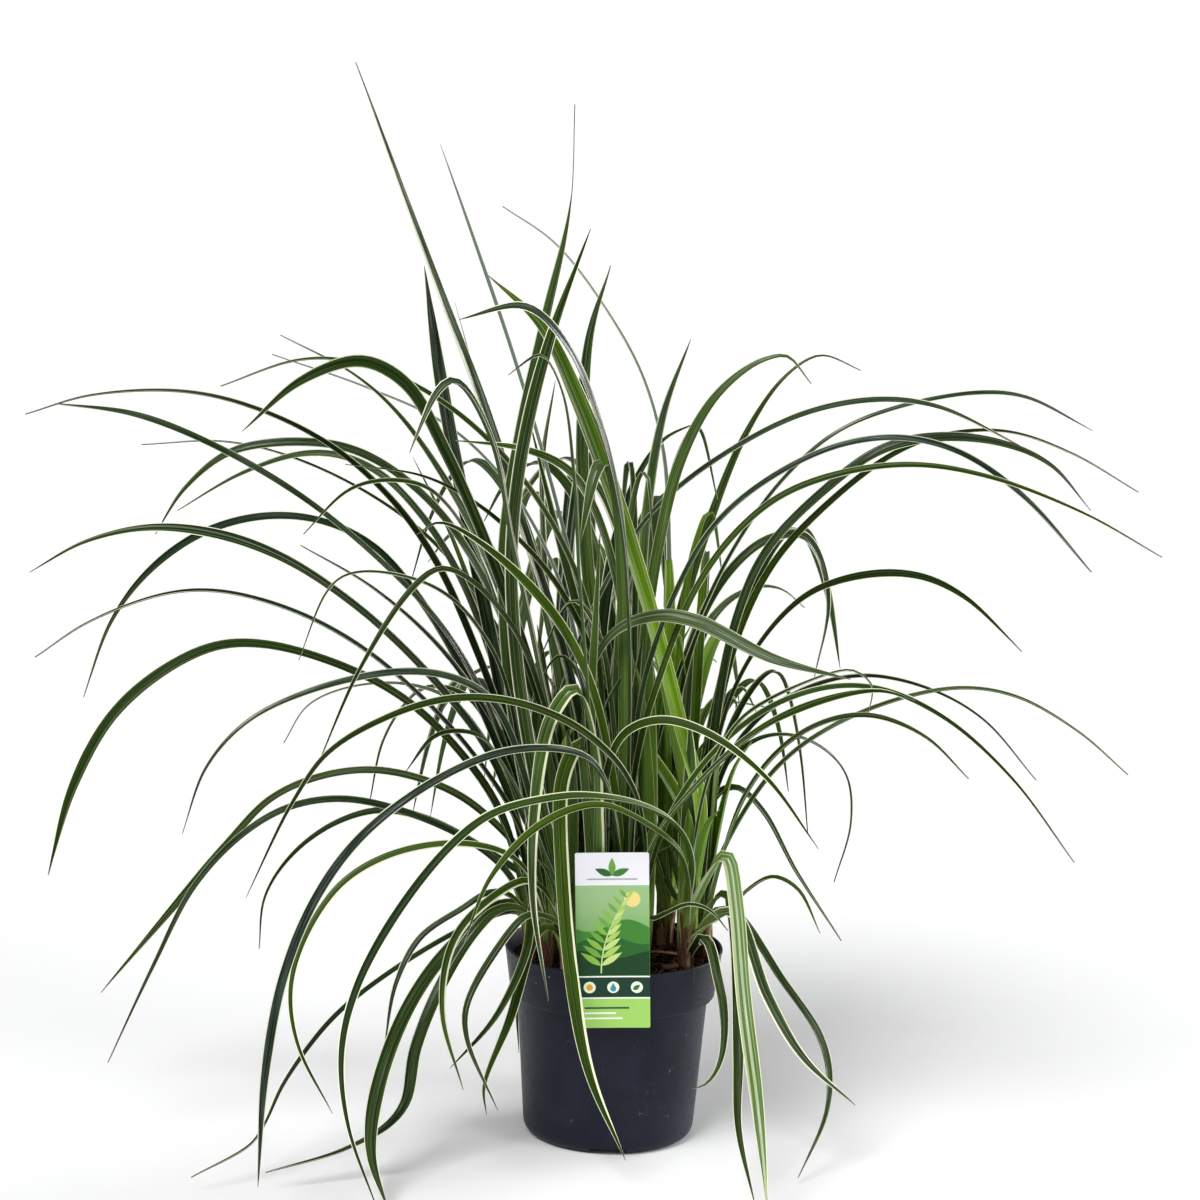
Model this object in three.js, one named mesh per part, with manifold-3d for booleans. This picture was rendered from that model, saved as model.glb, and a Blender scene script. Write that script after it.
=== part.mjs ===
// Variegated carex sedge growing in a round nursery pot, with its plant label.
// Millimetres, +Z up. The origin is the middle of the pot's underside, -Y is the front.
import * as THREE from "three";
import { mergeVertices } from "three/addons/utils/BufferGeometryUtils.js";
import Module from "manifold-3d";

const wasm = await Module();
wasm.setup();

// ---- Driving dimensions -------------------------------------------------------------

const GAP = 0.3;

const POT = {
  height: 151,
  rimRadius: 85,
  bandFootRadius: 80,
  bandFootHeight: 113,
  bodyTopRadius: 74.8,
  bodyFootRadius: 67,
  edgeRadius: 10,
  ringInnerRadius: 51,
  padRadius: 16,
  floorHeight: 5.5,
  floorRound: 6,
  wall: 1.8,
  bandStep: 0.6,
  lipHeight: 1.2,
  lipReach: 0.35,
  lipRound: 0.5,
  sides: 48,
};
const NOTCH = { width: 30, height: 5, corner: 3.5, overrun: 4, directions: [-90, 30, 150] };

const SOIL = {
  wallHeight: 138,
  middleHeight: 144,
  flatShare: 0.35,
  rings: [1, 0.78, 0.55, 0.3, 0],
  wallClearance: 0.45,
  stepClearance: 0.4,
  relief: 1.3,
  sides: 28,
};
const CLUMP = { x: 66, y: 0, height: 4.5, spread: 22.4 };
// Ripples of the soil's surface: how fast each one runs along X and Y, in radians a millimetre.
const RIPPLES = { long: [0.13, 0], cross: [0.05, 0.17], fine: [-0.23, 0.31], fineShare: 0.5 };

const LABEL = {
  width: 56,
  height: 140,
  thickness: 0.8,
  foot: 109,
  corner: 3,
  x: -1.5,
  tilt: 2.4,
  lean: 3,
  rimClearance: 0.7,
};
const TONGUE = { width: 15, wallClearance: 1.3, soilClearance: 0.8 };

const LITTER_GAP = 0.4;
const STRAW = { length: 36, radius: 1.3, x: 40, y: -6, turn: -12, bow: [1.6, 0.8, 2.6], lift: [1.2, 0.6, 0] };
const BARK = [
  { x: 44, y: -34, length: 15, width: 8, thickness: 2.4, turn: 20 },
  { x: 20, y: 68, length: 13, width: 7, thickness: 2.2, turn: 75 },
  { x: 30, y: -62, length: 14, width: 8, thickness: 2.6, turn: -25 },
];

const STEM = { footRadius: 5.6, topRadius: 4.6, buried: 16, height: 46, holeRise: 20, sides: 8 };
const SHEATH = { thickness: 0.9, buried: 7, height: 13, ragged: 4 };

const BLADE = {
  ringPitch: 95,
  ringTurn: 38,
  ringsLeast: 5,
  keel: 0.15,
  keelLeast: 0.62,
  baseShare: 0.5,
  fullFrom: 0.24,
  taperFrom: 0.58,
  taperTo: 1.04,
  taperPower: 1.7,
  tipWidth: 0.7,
  upright: 24,
  lean: [0.55, 1.35],
  twist: 25,
  layDown: [12, 60],
  floorClearance: 0.8,
  soilClearance: 3,
};
// A blade leaves its stem between these heights above the soil, by how steeply it starts.
const ROOTS = { low: 10, high: 32, lowRise: 30, highRise: 200, outShare: 0.4 };
// How a blade's route goes back from its root to the depth of its tip.
const DEPTH = { power: 1.25, shiftFrom: 0.03, shiftTo: 0.3 };
const ROUTE_STEPS = 240;
const SHIFTS = { step: 5, most: 130 };

// Space is marked in small cells, so that the blades of one stem stay clear of the others'. Past
// outerFrom millimetres of its length, a blade stays clear of the blades of its own stem too.
const SPACE = { x: [-490, 450], y: [-300, 400], z: [-5, 850], cell: 2, outerFrom: 150 };

// The sedge is drawn in front elevation, as it is seen from this eye point: each pair
// below is where a sight line crosses the plane Y = 0.
const EYE = new THREE.Vector3(-20, -2800, 949);

// Stems by clump, left, middle, right and young: the place of each root, and its blades as
// [width, depth of the tip behind the root, then the points of the elevation out to the tip].

const STEMS = {
  left_1: { x: -66, y: -8, blades: [
    [9, -50, [-93, 284], [-133, 342], [-212, 416], [-290, 460], [-367, 470], [-424, 454], [-459, 432]],
    [11, -110, [-100, 264], [-156, 330], [-211, 362], [-289, 380], [-327, 372], [-385, 330],
      [-423, 263], [-444, 192]],
    [9, -50, [-107, 223], [-170, 252], [-221, 259], [-271, 244], [-325, 192], [-364, 114], [-396, 41]],
    [11.5, -200, [-86, 179], [-105, 165], [-144, 121], [-175, 54], [-187, -20], [-172, -74]],
    [7, -170, [-94, 169], [-167, 127], [-221, 80], [-264, 14], [-278, -19], [-329, -52]],
    [6.5, -70, [-67, 184], [-67, 152], [-75, 95], [-72, 60]],
  ] },
  left_2: { x: -52, y: -28, blades: [
    [9, -90, [-92, 268], [-172, 357], [-251, 406], [-336, 422], [-423, 390], [-455, 366]],
    [10, -20, [-82, 328], [-94, 454], [-86, 540], [-71, 617], [-55, 701], [-51, 735], [-51, 803]],
    [5.5, -120, [-79, 344], [-113, 453], [-153, 506], [-187, 512], [-214, 504], [-249, 469]],
    [6, -100, [-77, 281], [-95, 367], [-139, 425], [-197, 441], [-224, 432], [-251, 370]],
    [9, -120, [-83, 218], [-146, 225], [-212, 193], [-250, 121], [-247, 64], [-218, 5]],
    [7.5, -80, [-94, 189], [-121, 173], [-152, 149], [-172, 104], [-178, 58]],
    [11.5, -120, [-90, 174], [-124, 130], [-150, 68], [-163, 8], [-200, -21], [-270, -45]],
    [7, -60, [-63, 181], [-69, 140], [-95, 82], [-126, 45]],
  ] },
  left_3: { x: -50, y: 6, blades: [
    [8.5, 50, [-77, 281], [-119, 390], [-159, 467], [-206, 519], [-253, 550], [-330, 575], [-424, 569],
      [-463, 555]],
    [9, -30, [-94, 312], [-134, 390], [-213, 469], [-291, 520], [-368, 553], [-424, 563], [-440, 564]],
    [5, 80, [-89, 280], [-133, 342], [-188, 354], [-242, 336], [-262, 304]],
    [9, 20, [-79, 204], [-123, 235], [-182, 252], [-236, 230], [-272, 184], [-278, 138]],
  ] },
  left_4: { x: -36, y: -50, blades: [
    [10, -30, [-66, 289], [-85, 407], [-86, 501], [-74, 578], [-57, 648], [-36, 710]],
    [8.5, -90, [-73, 273], [-102, 343], [-149, 363], [-215, 354], [-284, 324], [-321, 282],
      [-339, 229]],
    [7, -130, [-77, 265], [-109, 313], [-142, 314], [-166, 285]],
    [7.5, -110, [-67, 199], [-98, 183], [-125, 150], [-133, 93], [-115, 28]],
    [7, -90, [-66, 172], [-98, 131], [-115, 85], [-87, 12]],
    [8, -60, [-56, 161], [-78, 91], [-99, 28], [-96, 8]],
  ] },
  left_5: { x: -54, y: 32, blades: [
    [7, 150, [-86, 328], [-136, 452], [-191, 517], [-237, 532], [-291, 517], [-346, 484]],
    [8, 40, [-85, 280], [-134, 382], [-198, 462], [-260, 482], [-328, 466], [-386, 413], [-417, 335]],
    [11, 70, [-82, 296], [-112, 430], [-136, 538], [-151, 614], [-161, 678]],
    [8, 110, [-81, 272], [-118, 343], [-153, 351], [-181, 317], [-194, 259]],
    [9, 30, [-84, 228], [-124, 265], [-194, 283], [-264, 262], [-317, 204], [-360, 150], [-402, 98]],
  ] },
  middle_1: { x: -26, y: -26, blades: [
    [11.5, -70, [-55, 313], [-105, 453], [-138, 526], [-174, 587], [-208, 603], [-254, 586],
      [-297, 547]],
    [9.5, -110, [-60, 345], [-94, 485], [-112, 558], [-137, 590], [-154, 572], [-169, 535]],
    [9, -90, [-57, 329], [-96, 413], [-143, 444], [-192, 384], [-235, 287]],
    [11, -150, [-28, 314], [-18, 382], [0, 404], [36, 414], [74, 403], [121, 381], [176, 369]],
  ] },
  middle_2: { x: -14, y: -56, blades: [
    [9, -90, [-24, 314], [-35, 424], [-45, 541], [-56, 594], [-71, 613], [-95, 597]],
    [8.5, -48, [-22, 314], [-37, 353], [-54, 329], [-65, 249], [-64, 185], [-50, 103]],
    [12, -78, [-23, 274], [-31, 310], [-43, 290], [-45, 242], [-37, 153], [-20, 56], [15, -26]],
    [9.5, -110, [-11, 275], [3, 319], [30, 331], [65, 323], [113, 289], [157, 233]],
  ] },
  middle_3: { x: 6, y: -42, blades: [
    [11.5, -130, [5, 379], [-6, 488], [-24, 557], [-53, 621], [-84, 649], [-133, 638]],
    [9, -90, [-8, 291], [-34, 377], [-82, 441], [-144, 481], [-162, 471]],
    [8.5, -170, [-2, 243], [-23, 297], [-78, 304], [-139, 279], [-208, 220], [-250, 142], [-270, 47],
      [-276, -58]],
    [10.5, -110, [12, 284], [39, 396], [68, 459], [112, 506], [168, 530], [226, 537], [283, 528],
      [367, 497], [411, 473]],
    [9, -120, [26, 228], [55, 273], [93, 314], [138, 343], [199, 360], [227, 354]],
  ] },
  middle_4: { x: 22, y: -20, blades: [
    [9, -60, [6, 363], [-13, 457], [-42, 519], [-77, 538], [-134, 545]],
    [8.5, -150, [13, 268], [-24, 316], [-87, 342], [-149, 339], [-218, 304], [-241, 279], [-289, 179]],
    [10.5, -20, [17, 363], [27, 473], [47, 552], [78, 600], [115, 618], [136, 598]],
    [8.5, -60, [14, 331], [38, 427], [70, 489], [130, 537], [190, 557], [244, 550], [295, 520],
      [357, 459]],
    [8.5, -60, [37, 244], [70, 303], [115, 344], [176, 363], [231, 350], [295, 303], [357, 229]],
    [6, 0, [32, 173], [55, 185], [74, 181], [89, 165]],
  ] },
  middle_5: { x: -8, y: -8, blades: [
    [8, 20, [-27, 409], [-76, 509], [-139, 570], [-197, 598], [-246, 604], [-314, 581]],
    [10, 20, [-41, 361], [-83, 485], [-120, 589], [-161, 690], [-216, 829]],
    [8, -70, [-24, 314], [-23, 409], [-21, 480]],
  ] },
  middle_6: { x: -28, y: 12, blades: [
    [8, 60, [-88, 391], [-144, 487], [-207, 533], [-260, 539], [-306, 530], [-348, 492], [-363, 465]],
    [9, 90, [-59, 313], [-97, 430], [-137, 507], [-196, 581], [-269, 622]],
    [5, 130, [-80, 376], [-136, 476], [-191, 530]],
    [8, 20, [-77, 289], [-142, 382], [-205, 435], [-251, 460]],
    [9.5, -70, [-50, 274], [-44, 353], [-16, 433], [17, 492], [70, 539], [143, 577], [219, 585],
      [297, 556]],
  ] },
  middle_7: { x: 10, y: 12, blades: [
    [10.5, 60, [-13, 331], [-32, 456], [-39, 557], [-37, 618], [-29, 658], [-20, 683]],
    [7, -60, [-9, 331], [-51, 432], [-122, 500], [-168, 519], [-218, 524]],
    [7, 70, [12, 363], [13, 473], [19, 539], [29, 590], [43, 629]],
    [4.5, 40, [37, 348], [77, 459], [119, 525], [167, 567], [250, 593], [295, 594], [352, 569]],
  ] },
  middle_8: { x: -12, y: 36, blades: [
    [6, 120, [-42, 409], [-87, 503], [-138, 555], [-216, 589], [-275, 607]],
    [5, 170, [-36, 338], [-75, 462], [-112, 570], [-137, 651]],
    [7, 50, [-25, 362], [-55, 479], [-78, 563]],
    [9, 90, [-19, 346], [-11, 457], [5, 519], [26, 552], [52, 566]],
  ] },
  middle_9: { x: 18, y: 44, blades: [
    [5, 100, [-18, 362], [-52, 486], [-84, 590], [-111, 665], [-151, 770]],
    [10, 60, [30, 324], [46, 427], [66, 498], [86, 553], [116, 602], [142, 619], [173, 609]],
    [8, 90, [28, 268], [45, 356], [64, 425], [102, 473], [135, 480], [155, 439], [148, 370]],
    [6, 160, [38, 312], [61, 339], [91, 348], [111, 345]],
  ] },
  middle_10: { x: -34, y: 50, blades: [
    [6, 130, [-79, 360], [-136, 452], [-214, 509], [-299, 538], [-374, 535]],
    [5, 150, [-48, 329], [-62, 439], [-67, 532], [-59, 594]],
    [5, 170, [-62, 289], [-103, 391], [-141, 484], [-166, 531]],
  ] },
  right_1: { x: 56, y: -20, blades: [
    [12.5, -50, [63, 245], [46, 317], [19, 411], [-15, 511], [-44, 583], [-72, 636], [-113, 673]],
    [9, -200, [55, 229], [37, 254], [-15, 268], [-61, 264], [-107, 246], [-168, 173], [-208, 82],
      [-208, 8], [-179, -78]],
    [8, -125, [51, 222], [25, 246], [-14, 262], [-57, 247], [-98, 200], [-117, 149]],
    [9.5, 20, [57, 237], [19, 312], [-11, 365]],
    [12, -30, [49, 269], [32, 348], [15, 418], [0, 462]],
    [6.5, -60, [69, 285], [96, 338], [141, 363], [175, 376], [192, 365], [191, 343]],
    [11, -70, [58, 189], [54, 211], [65, 220], [80, 202], [107, 138], [150, 65], [195, 26]],
    [13, -195, [76, 215], [85, 224], [92, 202], [100, 133], [116, 36], [130, -68]],
    [9.5, -40, [71, 153], [80, 133], [88, 72], [81, 44], [68, 36]],
  ] },
  right_2: { x: 70, y: 2, blades: [
    [9, -20, [72, 286], [80, 381], [104, 460], [139, 504], [179, 541], [213, 556], [263, 560],
      [317, 544], [354, 507]],
    [9, -70, [78, 326], [103, 391], [143, 436], [203, 453], [249, 443], [307, 395]],
    [6.5, 10, [102, 267], [139, 313], [200, 348], [261, 364], [308, 358], [377, 318], [395, 301]],
    [8, -70, [100, 276], [139, 324], [189, 340], [240, 322], [271, 293]],
    [7.5, -120, [94, 178], [119, 144], [165, 78], [173, 29], [152, -36]],
    [9.5, -195, [86, 194], [92, 178], [98, 125], [101, 60], [103, 6], [119, -60]],
  ] },
  right_3: { x: 56, y: 22, blades: [
    [9, 60, [71, 317], [93, 415], [121, 469], [169, 519], [221, 555], [289, 565], [365, 538], [390, 523]],
    [6, 30, [75, 278], [107, 335], [164, 368], [214, 369], [274, 345], [324, 294]],
    [6, -90, [86, 177], [101, 196], [122, 209], [142, 200], [161, 165]],
    [8, 20, [47, 188], [30, 224], [17, 256]],
    [8, 120, [54, 301], [72, 349], [86, 351], [88, 322]],
  ] },
  right_4: { x: 42, y: 52, blades: [
    [8, 90, [35, 356], [31, 474], [24, 545], [5, 603], [-29, 658], [-66, 701], [-103, 725]],
    [8, 110, [50, 317], [55, 384], [75, 423], [103, 439], [123, 436], [138, 424]],
    [6, 130, [74, 286], [106, 319], [139, 322], [173, 299], [181, 257], [170, 207]],
    [9, 80, [67, 265], [90, 279], [110, 263], [140, 213], [178, 160]],
    [9, 170, [44, 324], [48, 371], [61, 387], [72, 379]],
  ] },
  young_1: { x: 38, y: 30, blades: [
    [7, -5, [37, 176], [32, 192], [27, 212]],
  ] },
};

// Blades that fill the crown where the elevation doesn't show them: arching ones behind, and
// steep ones among the stems.
const SEED = { blades: 41, sheaths: 7 };
const FILL = {
  width: [6.5, 10.5],
  twist: 30,
  trials: 40,
  droopLeast: 0.15,
  droopMost: 0.9,
  droopFrom: 60,
  droopFull: 200,
};
// The arch of a filling blade, in shares of its reach and its rise, before its tip droops.
const ARCH = [[0, 0], [0.02, 0.14], [0.16, 0.6], [0.42, 0.93], [0.66, 1], [0.86, 1], [1, 1]];
const ARCH_DROOP = [0, 0, 0, 0, 0, 0.4, 1];
const FILLS = [
  {
    stems: ["left_5", "middle_8", "middle_9", "middle_10", "right_4", "right_3", "middle_6", "middle_7"],
    count: 38,
    first: 55,
    last: 125,
    reach: [110, 330],
    rise: [150, 360],
  },
  {
    stems: ["middle_4", "middle_7", "middle_5", "middle_3", "young_1", "middle_1"],
    count: 20,
    first: -180,
    last: 180,
    reach: [20, 90],
    rise: [220, 400],
  },
];

// ---- Small helpers -------------------------------------------------------------------

const radians = THREE.MathUtils.degToRad;
const smooth = THREE.MathUtils.smoothstep;
const UP = new THREE.Vector3(0, 0, 1);
const TOWARD_EYE = new THREE.Vector3(0, -1, 0);

function seededRandom(seed) {
  let state = seed >>> 0;
  return () => {
    state = (state + 0x6d2b79f5) >>> 0;
    let mixed = Math.imul(state ^ (state >>> 15), 1 | state);
    mixed = (mixed + Math.imul(mixed ^ (mixed >>> 7), 61 | mixed)) ^ mixed;
    return ((mixed ^ (mixed >>> 14)) >>> 0) / 4294967296;
  };
}

function weld(geometry) {
  const bare = new THREE.BufferGeometry();
  bare.setAttribute("position", geometry.getAttribute("position"));
  bare.setIndex(geometry.getIndex());
  const merged = mergeVertices(bare, 1e-4);
  const corners = merged.getIndex().array;
  const kept = [];
  for (let i = 0; i < corners.length; i += 3) {
    const [a, b, c] = corners.subarray(i, i + 3);
    if (a !== b && b !== c && c !== a) kept.push(a, b, c);
  }
  merged.setIndex(kept);
  return merged;
}

function toSolid(geometry) {
  const welded = weld(geometry);
  return new wasm.Manifold(new wasm.Mesh({
    numProp: 3,
    vertProperties: new Float32Array(welded.getAttribute("position").array),
    triVerts: new Uint32Array(welded.getIndex().array),
  }));
}

// The outer skin of a solid: loose scraps and sealed hollows are left behind.
function toGeometry(solid) {
  const { vertProperties, triVerts } = solid.getMesh();
  const owner = Array.from({ length: vertProperties.length / 3 }, (_, i) => i);
  const find = (i) => {
    while (owner[i] !== i) i = owner[i] = owner[owner[i]];
    return i;
  };
  for (let i = 0; i < triVerts.length; i += 3) {
    owner[find(triVerts[i])] = find(triVerts[i + 1]);
    owner[find(triVerts[i + 1])] = find(triVerts[i + 2]);
  }
  const counts = new Map();
  for (let i = 0; i < triVerts.length; i += 3) {
    const shell = find(triVerts[i]);
    counts.set(shell, (counts.get(shell) ?? 0) + 1);
  }
  const [largest] = [...counts].reduce((best, entry) => (entry[1] > best[1] ? entry : best));
  const kept = [];
  for (let i = 0; i < triVerts.length; i += 3) {
    if (find(triVerts[i]) === largest) kept.push(...triVerts.subarray(i, i + 3));
  }
  const geometry = new THREE.BufferGeometry();
  geometry.setAttribute("position", new THREE.BufferAttribute(new Float32Array(vertProperties), 3));
  geometry.setIndex(kept);
  return geometry;
}

function finish(color, roughness) {
  return new THREE.MeshStandardMaterial({ color, roughness, metalness: 0 });
}

const group = new THREE.Group();

function addMesh(name, geometry, material) {
  const mesh = new THREE.Mesh(geometry, material);
  mesh.name = name;
  group.add(mesh);
  return mesh;
}

// ---- Pot -----------------------------------------------------------------------------

function onSlope(z, z0, r0, z1, r1) {
  return r0 + ((r1 - r0) * (z - z0)) / (z1 - z0);
}

function potOuterRadius(z) {
  const { height, rimRadius, bandFootRadius, bandFootHeight, bodyTopRadius, bodyFootRadius } = POT;
  if (z > bandFootHeight) return onSlope(z, bandFootHeight, bandFootRadius, height, rimRadius);
  return onSlope(z, POT.edgeRadius, bodyFootRadius, bandFootHeight, bodyTopRadius);
}

function potInnerRadius(z) {
  return potOuterRadius(z > POT.bandFootHeight + POT.wall ? z : Math.min(z, POT.bandFootHeight)) - POT.wall;
}

function lathe(profile, sides) {
  const geometry = new THREE.LatheGeometry(profile.map(([r, z]) => new THREE.Vector2(r, z)), sides);
  return geometry.rotateX(Math.PI / 2);
}

function potProfile() {
  const foot = POT.bodyFootRadius - POT.edgeRadius;
  const edge = [0, 30, 60, 90].map((turn) => [
    foot + POT.edgeRadius * Math.sin(radians(turn)),
    POT.edgeRadius * (1 - Math.cos(radians(turn))),
  ]);
  const lip = POT.bandFootHeight;
  const insideStep = lip + POT.wall + 2 * POT.bandStep;
  const inside = POT.floorHeight + POT.wall;
  return [
    [0, 0],
    [POT.padRadius, 0],
    [POT.padRadius, POT.floorHeight],
    [POT.ringInnerRadius, POT.floorHeight],
    [POT.ringInnerRadius, 0],
    ...edge,
    [POT.bodyTopRadius, lip - POT.bandStep],
    [POT.bandFootRadius, lip + POT.bandStep],
    [potOuterRadius(POT.height - POT.lipHeight) + POT.lipReach, POT.height - POT.lipHeight],
    [POT.rimRadius - POT.lipRound, POT.height],
    [POT.rimRadius - POT.wall, POT.height],
    [potInnerRadius(insideStep), insideStep],
    [POT.bodyTopRadius - POT.wall, lip - 2 * POT.bandStep],
    [POT.bodyFootRadius - POT.wall, inside + POT.floorRound],
    [POT.bodyFootRadius - POT.wall - POT.floorRound, inside],
    [0, inside],
  ];
}

function notchCutter(direction) {
  const { width, height, corner, overrun } = NOTCH;
  const half = width / 2;
  const outline = new THREE.Shape();
  outline.moveTo(-half, -height);
  outline.lineTo(half, -height);
  outline.lineTo(half, height - corner);
  outline.absarc(half - corner, height - corner, corner, 0, Math.PI / 2, false);
  outline.lineTo(-half + corner, height);
  outline.absarc(-half + corner, height - corner, corner, Math.PI / 2, Math.PI, false);
  outline.closePath();
  const depth = POT.bodyFootRadius - POT.ringInnerRadius + 2 * overrun;
  const geometry = new THREE.ExtrudeGeometry(outline, { depth, bevelEnabled: false, curveSegments: 3 });
  geometry.translate(0, 0, POT.ringInnerRadius - overrun);
  geometry.rotateX(Math.PI / 2);
  return geometry.rotateZ(radians(direction + 90));
}

function makePot() {
  const body = toSolid(lathe(potProfile(), POT.sides));
  return toGeometry(NOTCH.directions.reduce((pot, way) => pot.subtract(toSolid(notchCutter(way))), body));
}

// ---- Soil ----------------------------------------------------------------------------

function soilTop(x, y) {
  const out = Math.hypot(x, y) / potInnerRadius(SOIL.wallHeight);
  const mound = THREE.MathUtils.lerp(SOIL.middleHeight, SOIL.wallHeight, smooth(out, SOIL.flatShare, 1));
  const clump = CLUMP.height * Math.exp(-((x - CLUMP.x) ** 2 + (y - CLUMP.y) ** 2) / CLUMP.spread ** 2);
  const wave = ([alongX, alongY]) => x * alongX + y * alongY;
  const coarse = Math.sin(wave(RIPPLES.long)) * Math.cos(wave(RIPPLES.cross));
  const fine = RIPPLES.fineShare * Math.sin(wave(RIPPLES.fine));
  return mound + clump + SOIL.relief * (coarse + fine);
}

function makeSoil() {
  const inside = POT.floorHeight + POT.wall;
  const clear = SOIL.wallClearance;
  const step = POT.bandFootHeight + POT.wall + 2 * POT.bandStep + SOIL.stepClearance;
  const rim = potInnerRadius(SOIL.wallHeight) - clear;
  const profile = [
    [0, inside + GAP],
    [POT.bodyFootRadius - POT.wall - POT.floorRound - clear, inside + GAP],
    [POT.bodyFootRadius - POT.wall - clear, inside + POT.floorRound + GAP],
    [POT.bodyTopRadius - POT.wall - clear, POT.bandFootHeight - 2 * POT.bandStep],
    [potInnerRadius(step) - clear, step],
    ...SOIL.rings.map((share) => [rim * share, SOIL.wallHeight]),
  ];
  const geometry = weld(lathe(profile, SOIL.sides));
  const points = geometry.getAttribute("position");
  for (let i = 0; i < points.count; i += 1) {
    if (points.getZ(i) > SOIL.wallHeight - GAP) points.setZ(i, soilTop(points.getX(i), points.getY(i)));
  }
  const cutters = Object.values(STEMS).map(stemHole);
  return toGeometry(cutters.reduce((soil, hole) => soil.subtract(toSolid(hole)), toSolid(geometry)));
}

// ---- Label ---------------------------------------------------------------------------

function roundedCard(width, height, corner, thickness) {
  const half = width / 2;
  const outline = new THREE.Shape();
  outline.moveTo(-half + corner, 0);
  outline.lineTo(half - corner, 0);
  outline.absarc(half - corner, corner, corner, -Math.PI / 2, 0, false);
  outline.lineTo(half, height - corner);
  outline.absarc(half - corner, height - corner, corner, 0, Math.PI / 2, false);
  outline.lineTo(-half + corner, height);
  outline.absarc(-half + corner, height - corner, corner, Math.PI / 2, Math.PI, false);
  outline.lineTo(-half, corner);
  outline.absarc(-half + corner, corner, corner, Math.PI, Math.PI * 1.5, false);
  return new THREE.ExtrudeGeometry(outline, { depth: thickness, bevelEnabled: false, curveSegments: 3 });
}

// The tongue bridges the rim and hooks down behind it, all in one piece with the card.
function makeLabel() {
  const back = -POT.rimRadius - LABEL.rimClearance;
  const bridgeFoot = POT.height + GAP;
  const middle = LABEL.foot + LABEL.height / 2;
  const card = roundedCard(LABEL.width, LABEL.height, LABEL.corner, LABEL.thickness);
  card.translate(0, -LABEL.height / 2, 0);
  card.rotateZ(radians(LABEL.tilt));
  card.rotateX(Math.PI / 2 + radians(LABEL.lean));
  card.translate(LABEL.x, back - (middle - bridgeFoot) * Math.tan(radians(LABEL.lean)), middle);
  const hookY = -potInnerRadius(SOIL.wallHeight) + TONGUE.wallClearance;
  const hookFoot = soilTop(0, hookY) + TONGUE.soilClearance;
  const hookTop = bridgeFoot + LABEL.thickness;
  const bridge = new THREE.BoxGeometry(TONGUE.width, hookY - back + LABEL.thickness, LABEL.thickness);
  bridge.translate(0, (hookY + back) / 2, bridgeFoot + LABEL.thickness / 2);
  const hook = new THREE.BoxGeometry(TONGUE.width, LABEL.thickness, hookTop - hookFoot);
  hook.translate(0, hookY, (hookTop + hookFoot) / 2);
  return toGeometry(toSolid(card).add(toSolid(bridge)).add(toSolid(hook)));
}

// ---- Litter on the soil --------------------------------------------------------------

// Sets a loose piece down on the soil, a small gap above the highest point under it.
function restOn(soil, geometry) {
  const ray = new THREE.Raycaster();
  const down = UP.clone().negate();
  const points = geometry.getAttribute("position");
  let lowest = Infinity;
  for (let i = 0; i < points.count; i += 1) {
    const corner = new THREE.Vector3().fromBufferAttribute(points, i);
    ray.set(corner.clone().setZ(corner.z + POT.height), down);
    const [hit] = ray.intersectObject(soil);
    if (hit) lowest = Math.min(lowest, corner.z - hit.point.z);
  }
  return geometry.translate(0, 0, LITTER_GAP - lowest);
}

function makeStraw(soil) {
  const half = STRAW.length / 2;
  const bend = new THREE.CatmullRomCurve3([
    new THREE.Vector3(-half, 0, 0),
    new THREE.Vector3(-half * 0.2, STRAW.bow[0], STRAW.lift[0]),
    new THREE.Vector3(half * 0.55, STRAW.bow[1], STRAW.lift[1]),
    new THREE.Vector3(half, STRAW.bow[2], STRAW.lift[2]),
  ]);
  const section = new THREE.Shape().absarc(0, 0, STRAW.radius, 0, Math.PI * 2, false);
  const geometry = new THREE.ExtrudeGeometry(section, { steps: 5, extrudePath: bend, curveSegments: 3 });
  geometry.rotateZ(radians(STRAW.turn));
  return restOn(soil, weld(geometry.translate(STRAW.x, STRAW.y, POT.height)));
}

function makeBark(soil, { x, y, length, width, thickness, turn }) {
  const outline = new THREE.Shape();
  outline.moveTo(-length / 2, -width * 0.2);
  outline.lineTo(-length * 0.2, -width / 2);
  outline.lineTo(length * 0.35, -width * 0.4);
  outline.lineTo(length / 2, width * 0.1);
  outline.lineTo(length * 0.2, width / 2);
  outline.lineTo(-length * 0.4, width * 0.35);
  outline.closePath();
  const geometry = new THREE.ExtrudeGeometry(outline, { depth: thickness, bevelEnabled: false });
  geometry.rotateZ(radians(turn));
  return restOn(soil, weld(geometry.translate(x, y, POT.height)));
}

// ---- Stems and their dry sheaths -----------------------------------------------------

function stemHole({ x, y }) {
  const radius = STEM.footRadius + SHEATH.thickness + 2 * GAP;
  const depth = STEM.buried + GAP;
  const height = depth + STEM.holeRise;
  const hole = new THREE.CylinderGeometry(radius, radius, height, STEM.sides).rotateX(Math.PI / 2);
  return hole.translate(x, y, soilTop(x, y) - depth + height / 2);
}

function makeStem({ x, y }) {
  const foot = soilTop(x, y) - STEM.buried;
  const top = soilTop(x, y) + STEM.height;
  const profile = [
    [0, foot],
    [STEM.footRadius, foot],
    [STEM.footRadius, soilTop(x, y) + SHEATH.height],
    [STEM.topRadius, top],
    [0, top],
  ];
  return toSolid(lathe(profile, STEM.sides).translate(x, y, 0));
}

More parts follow.
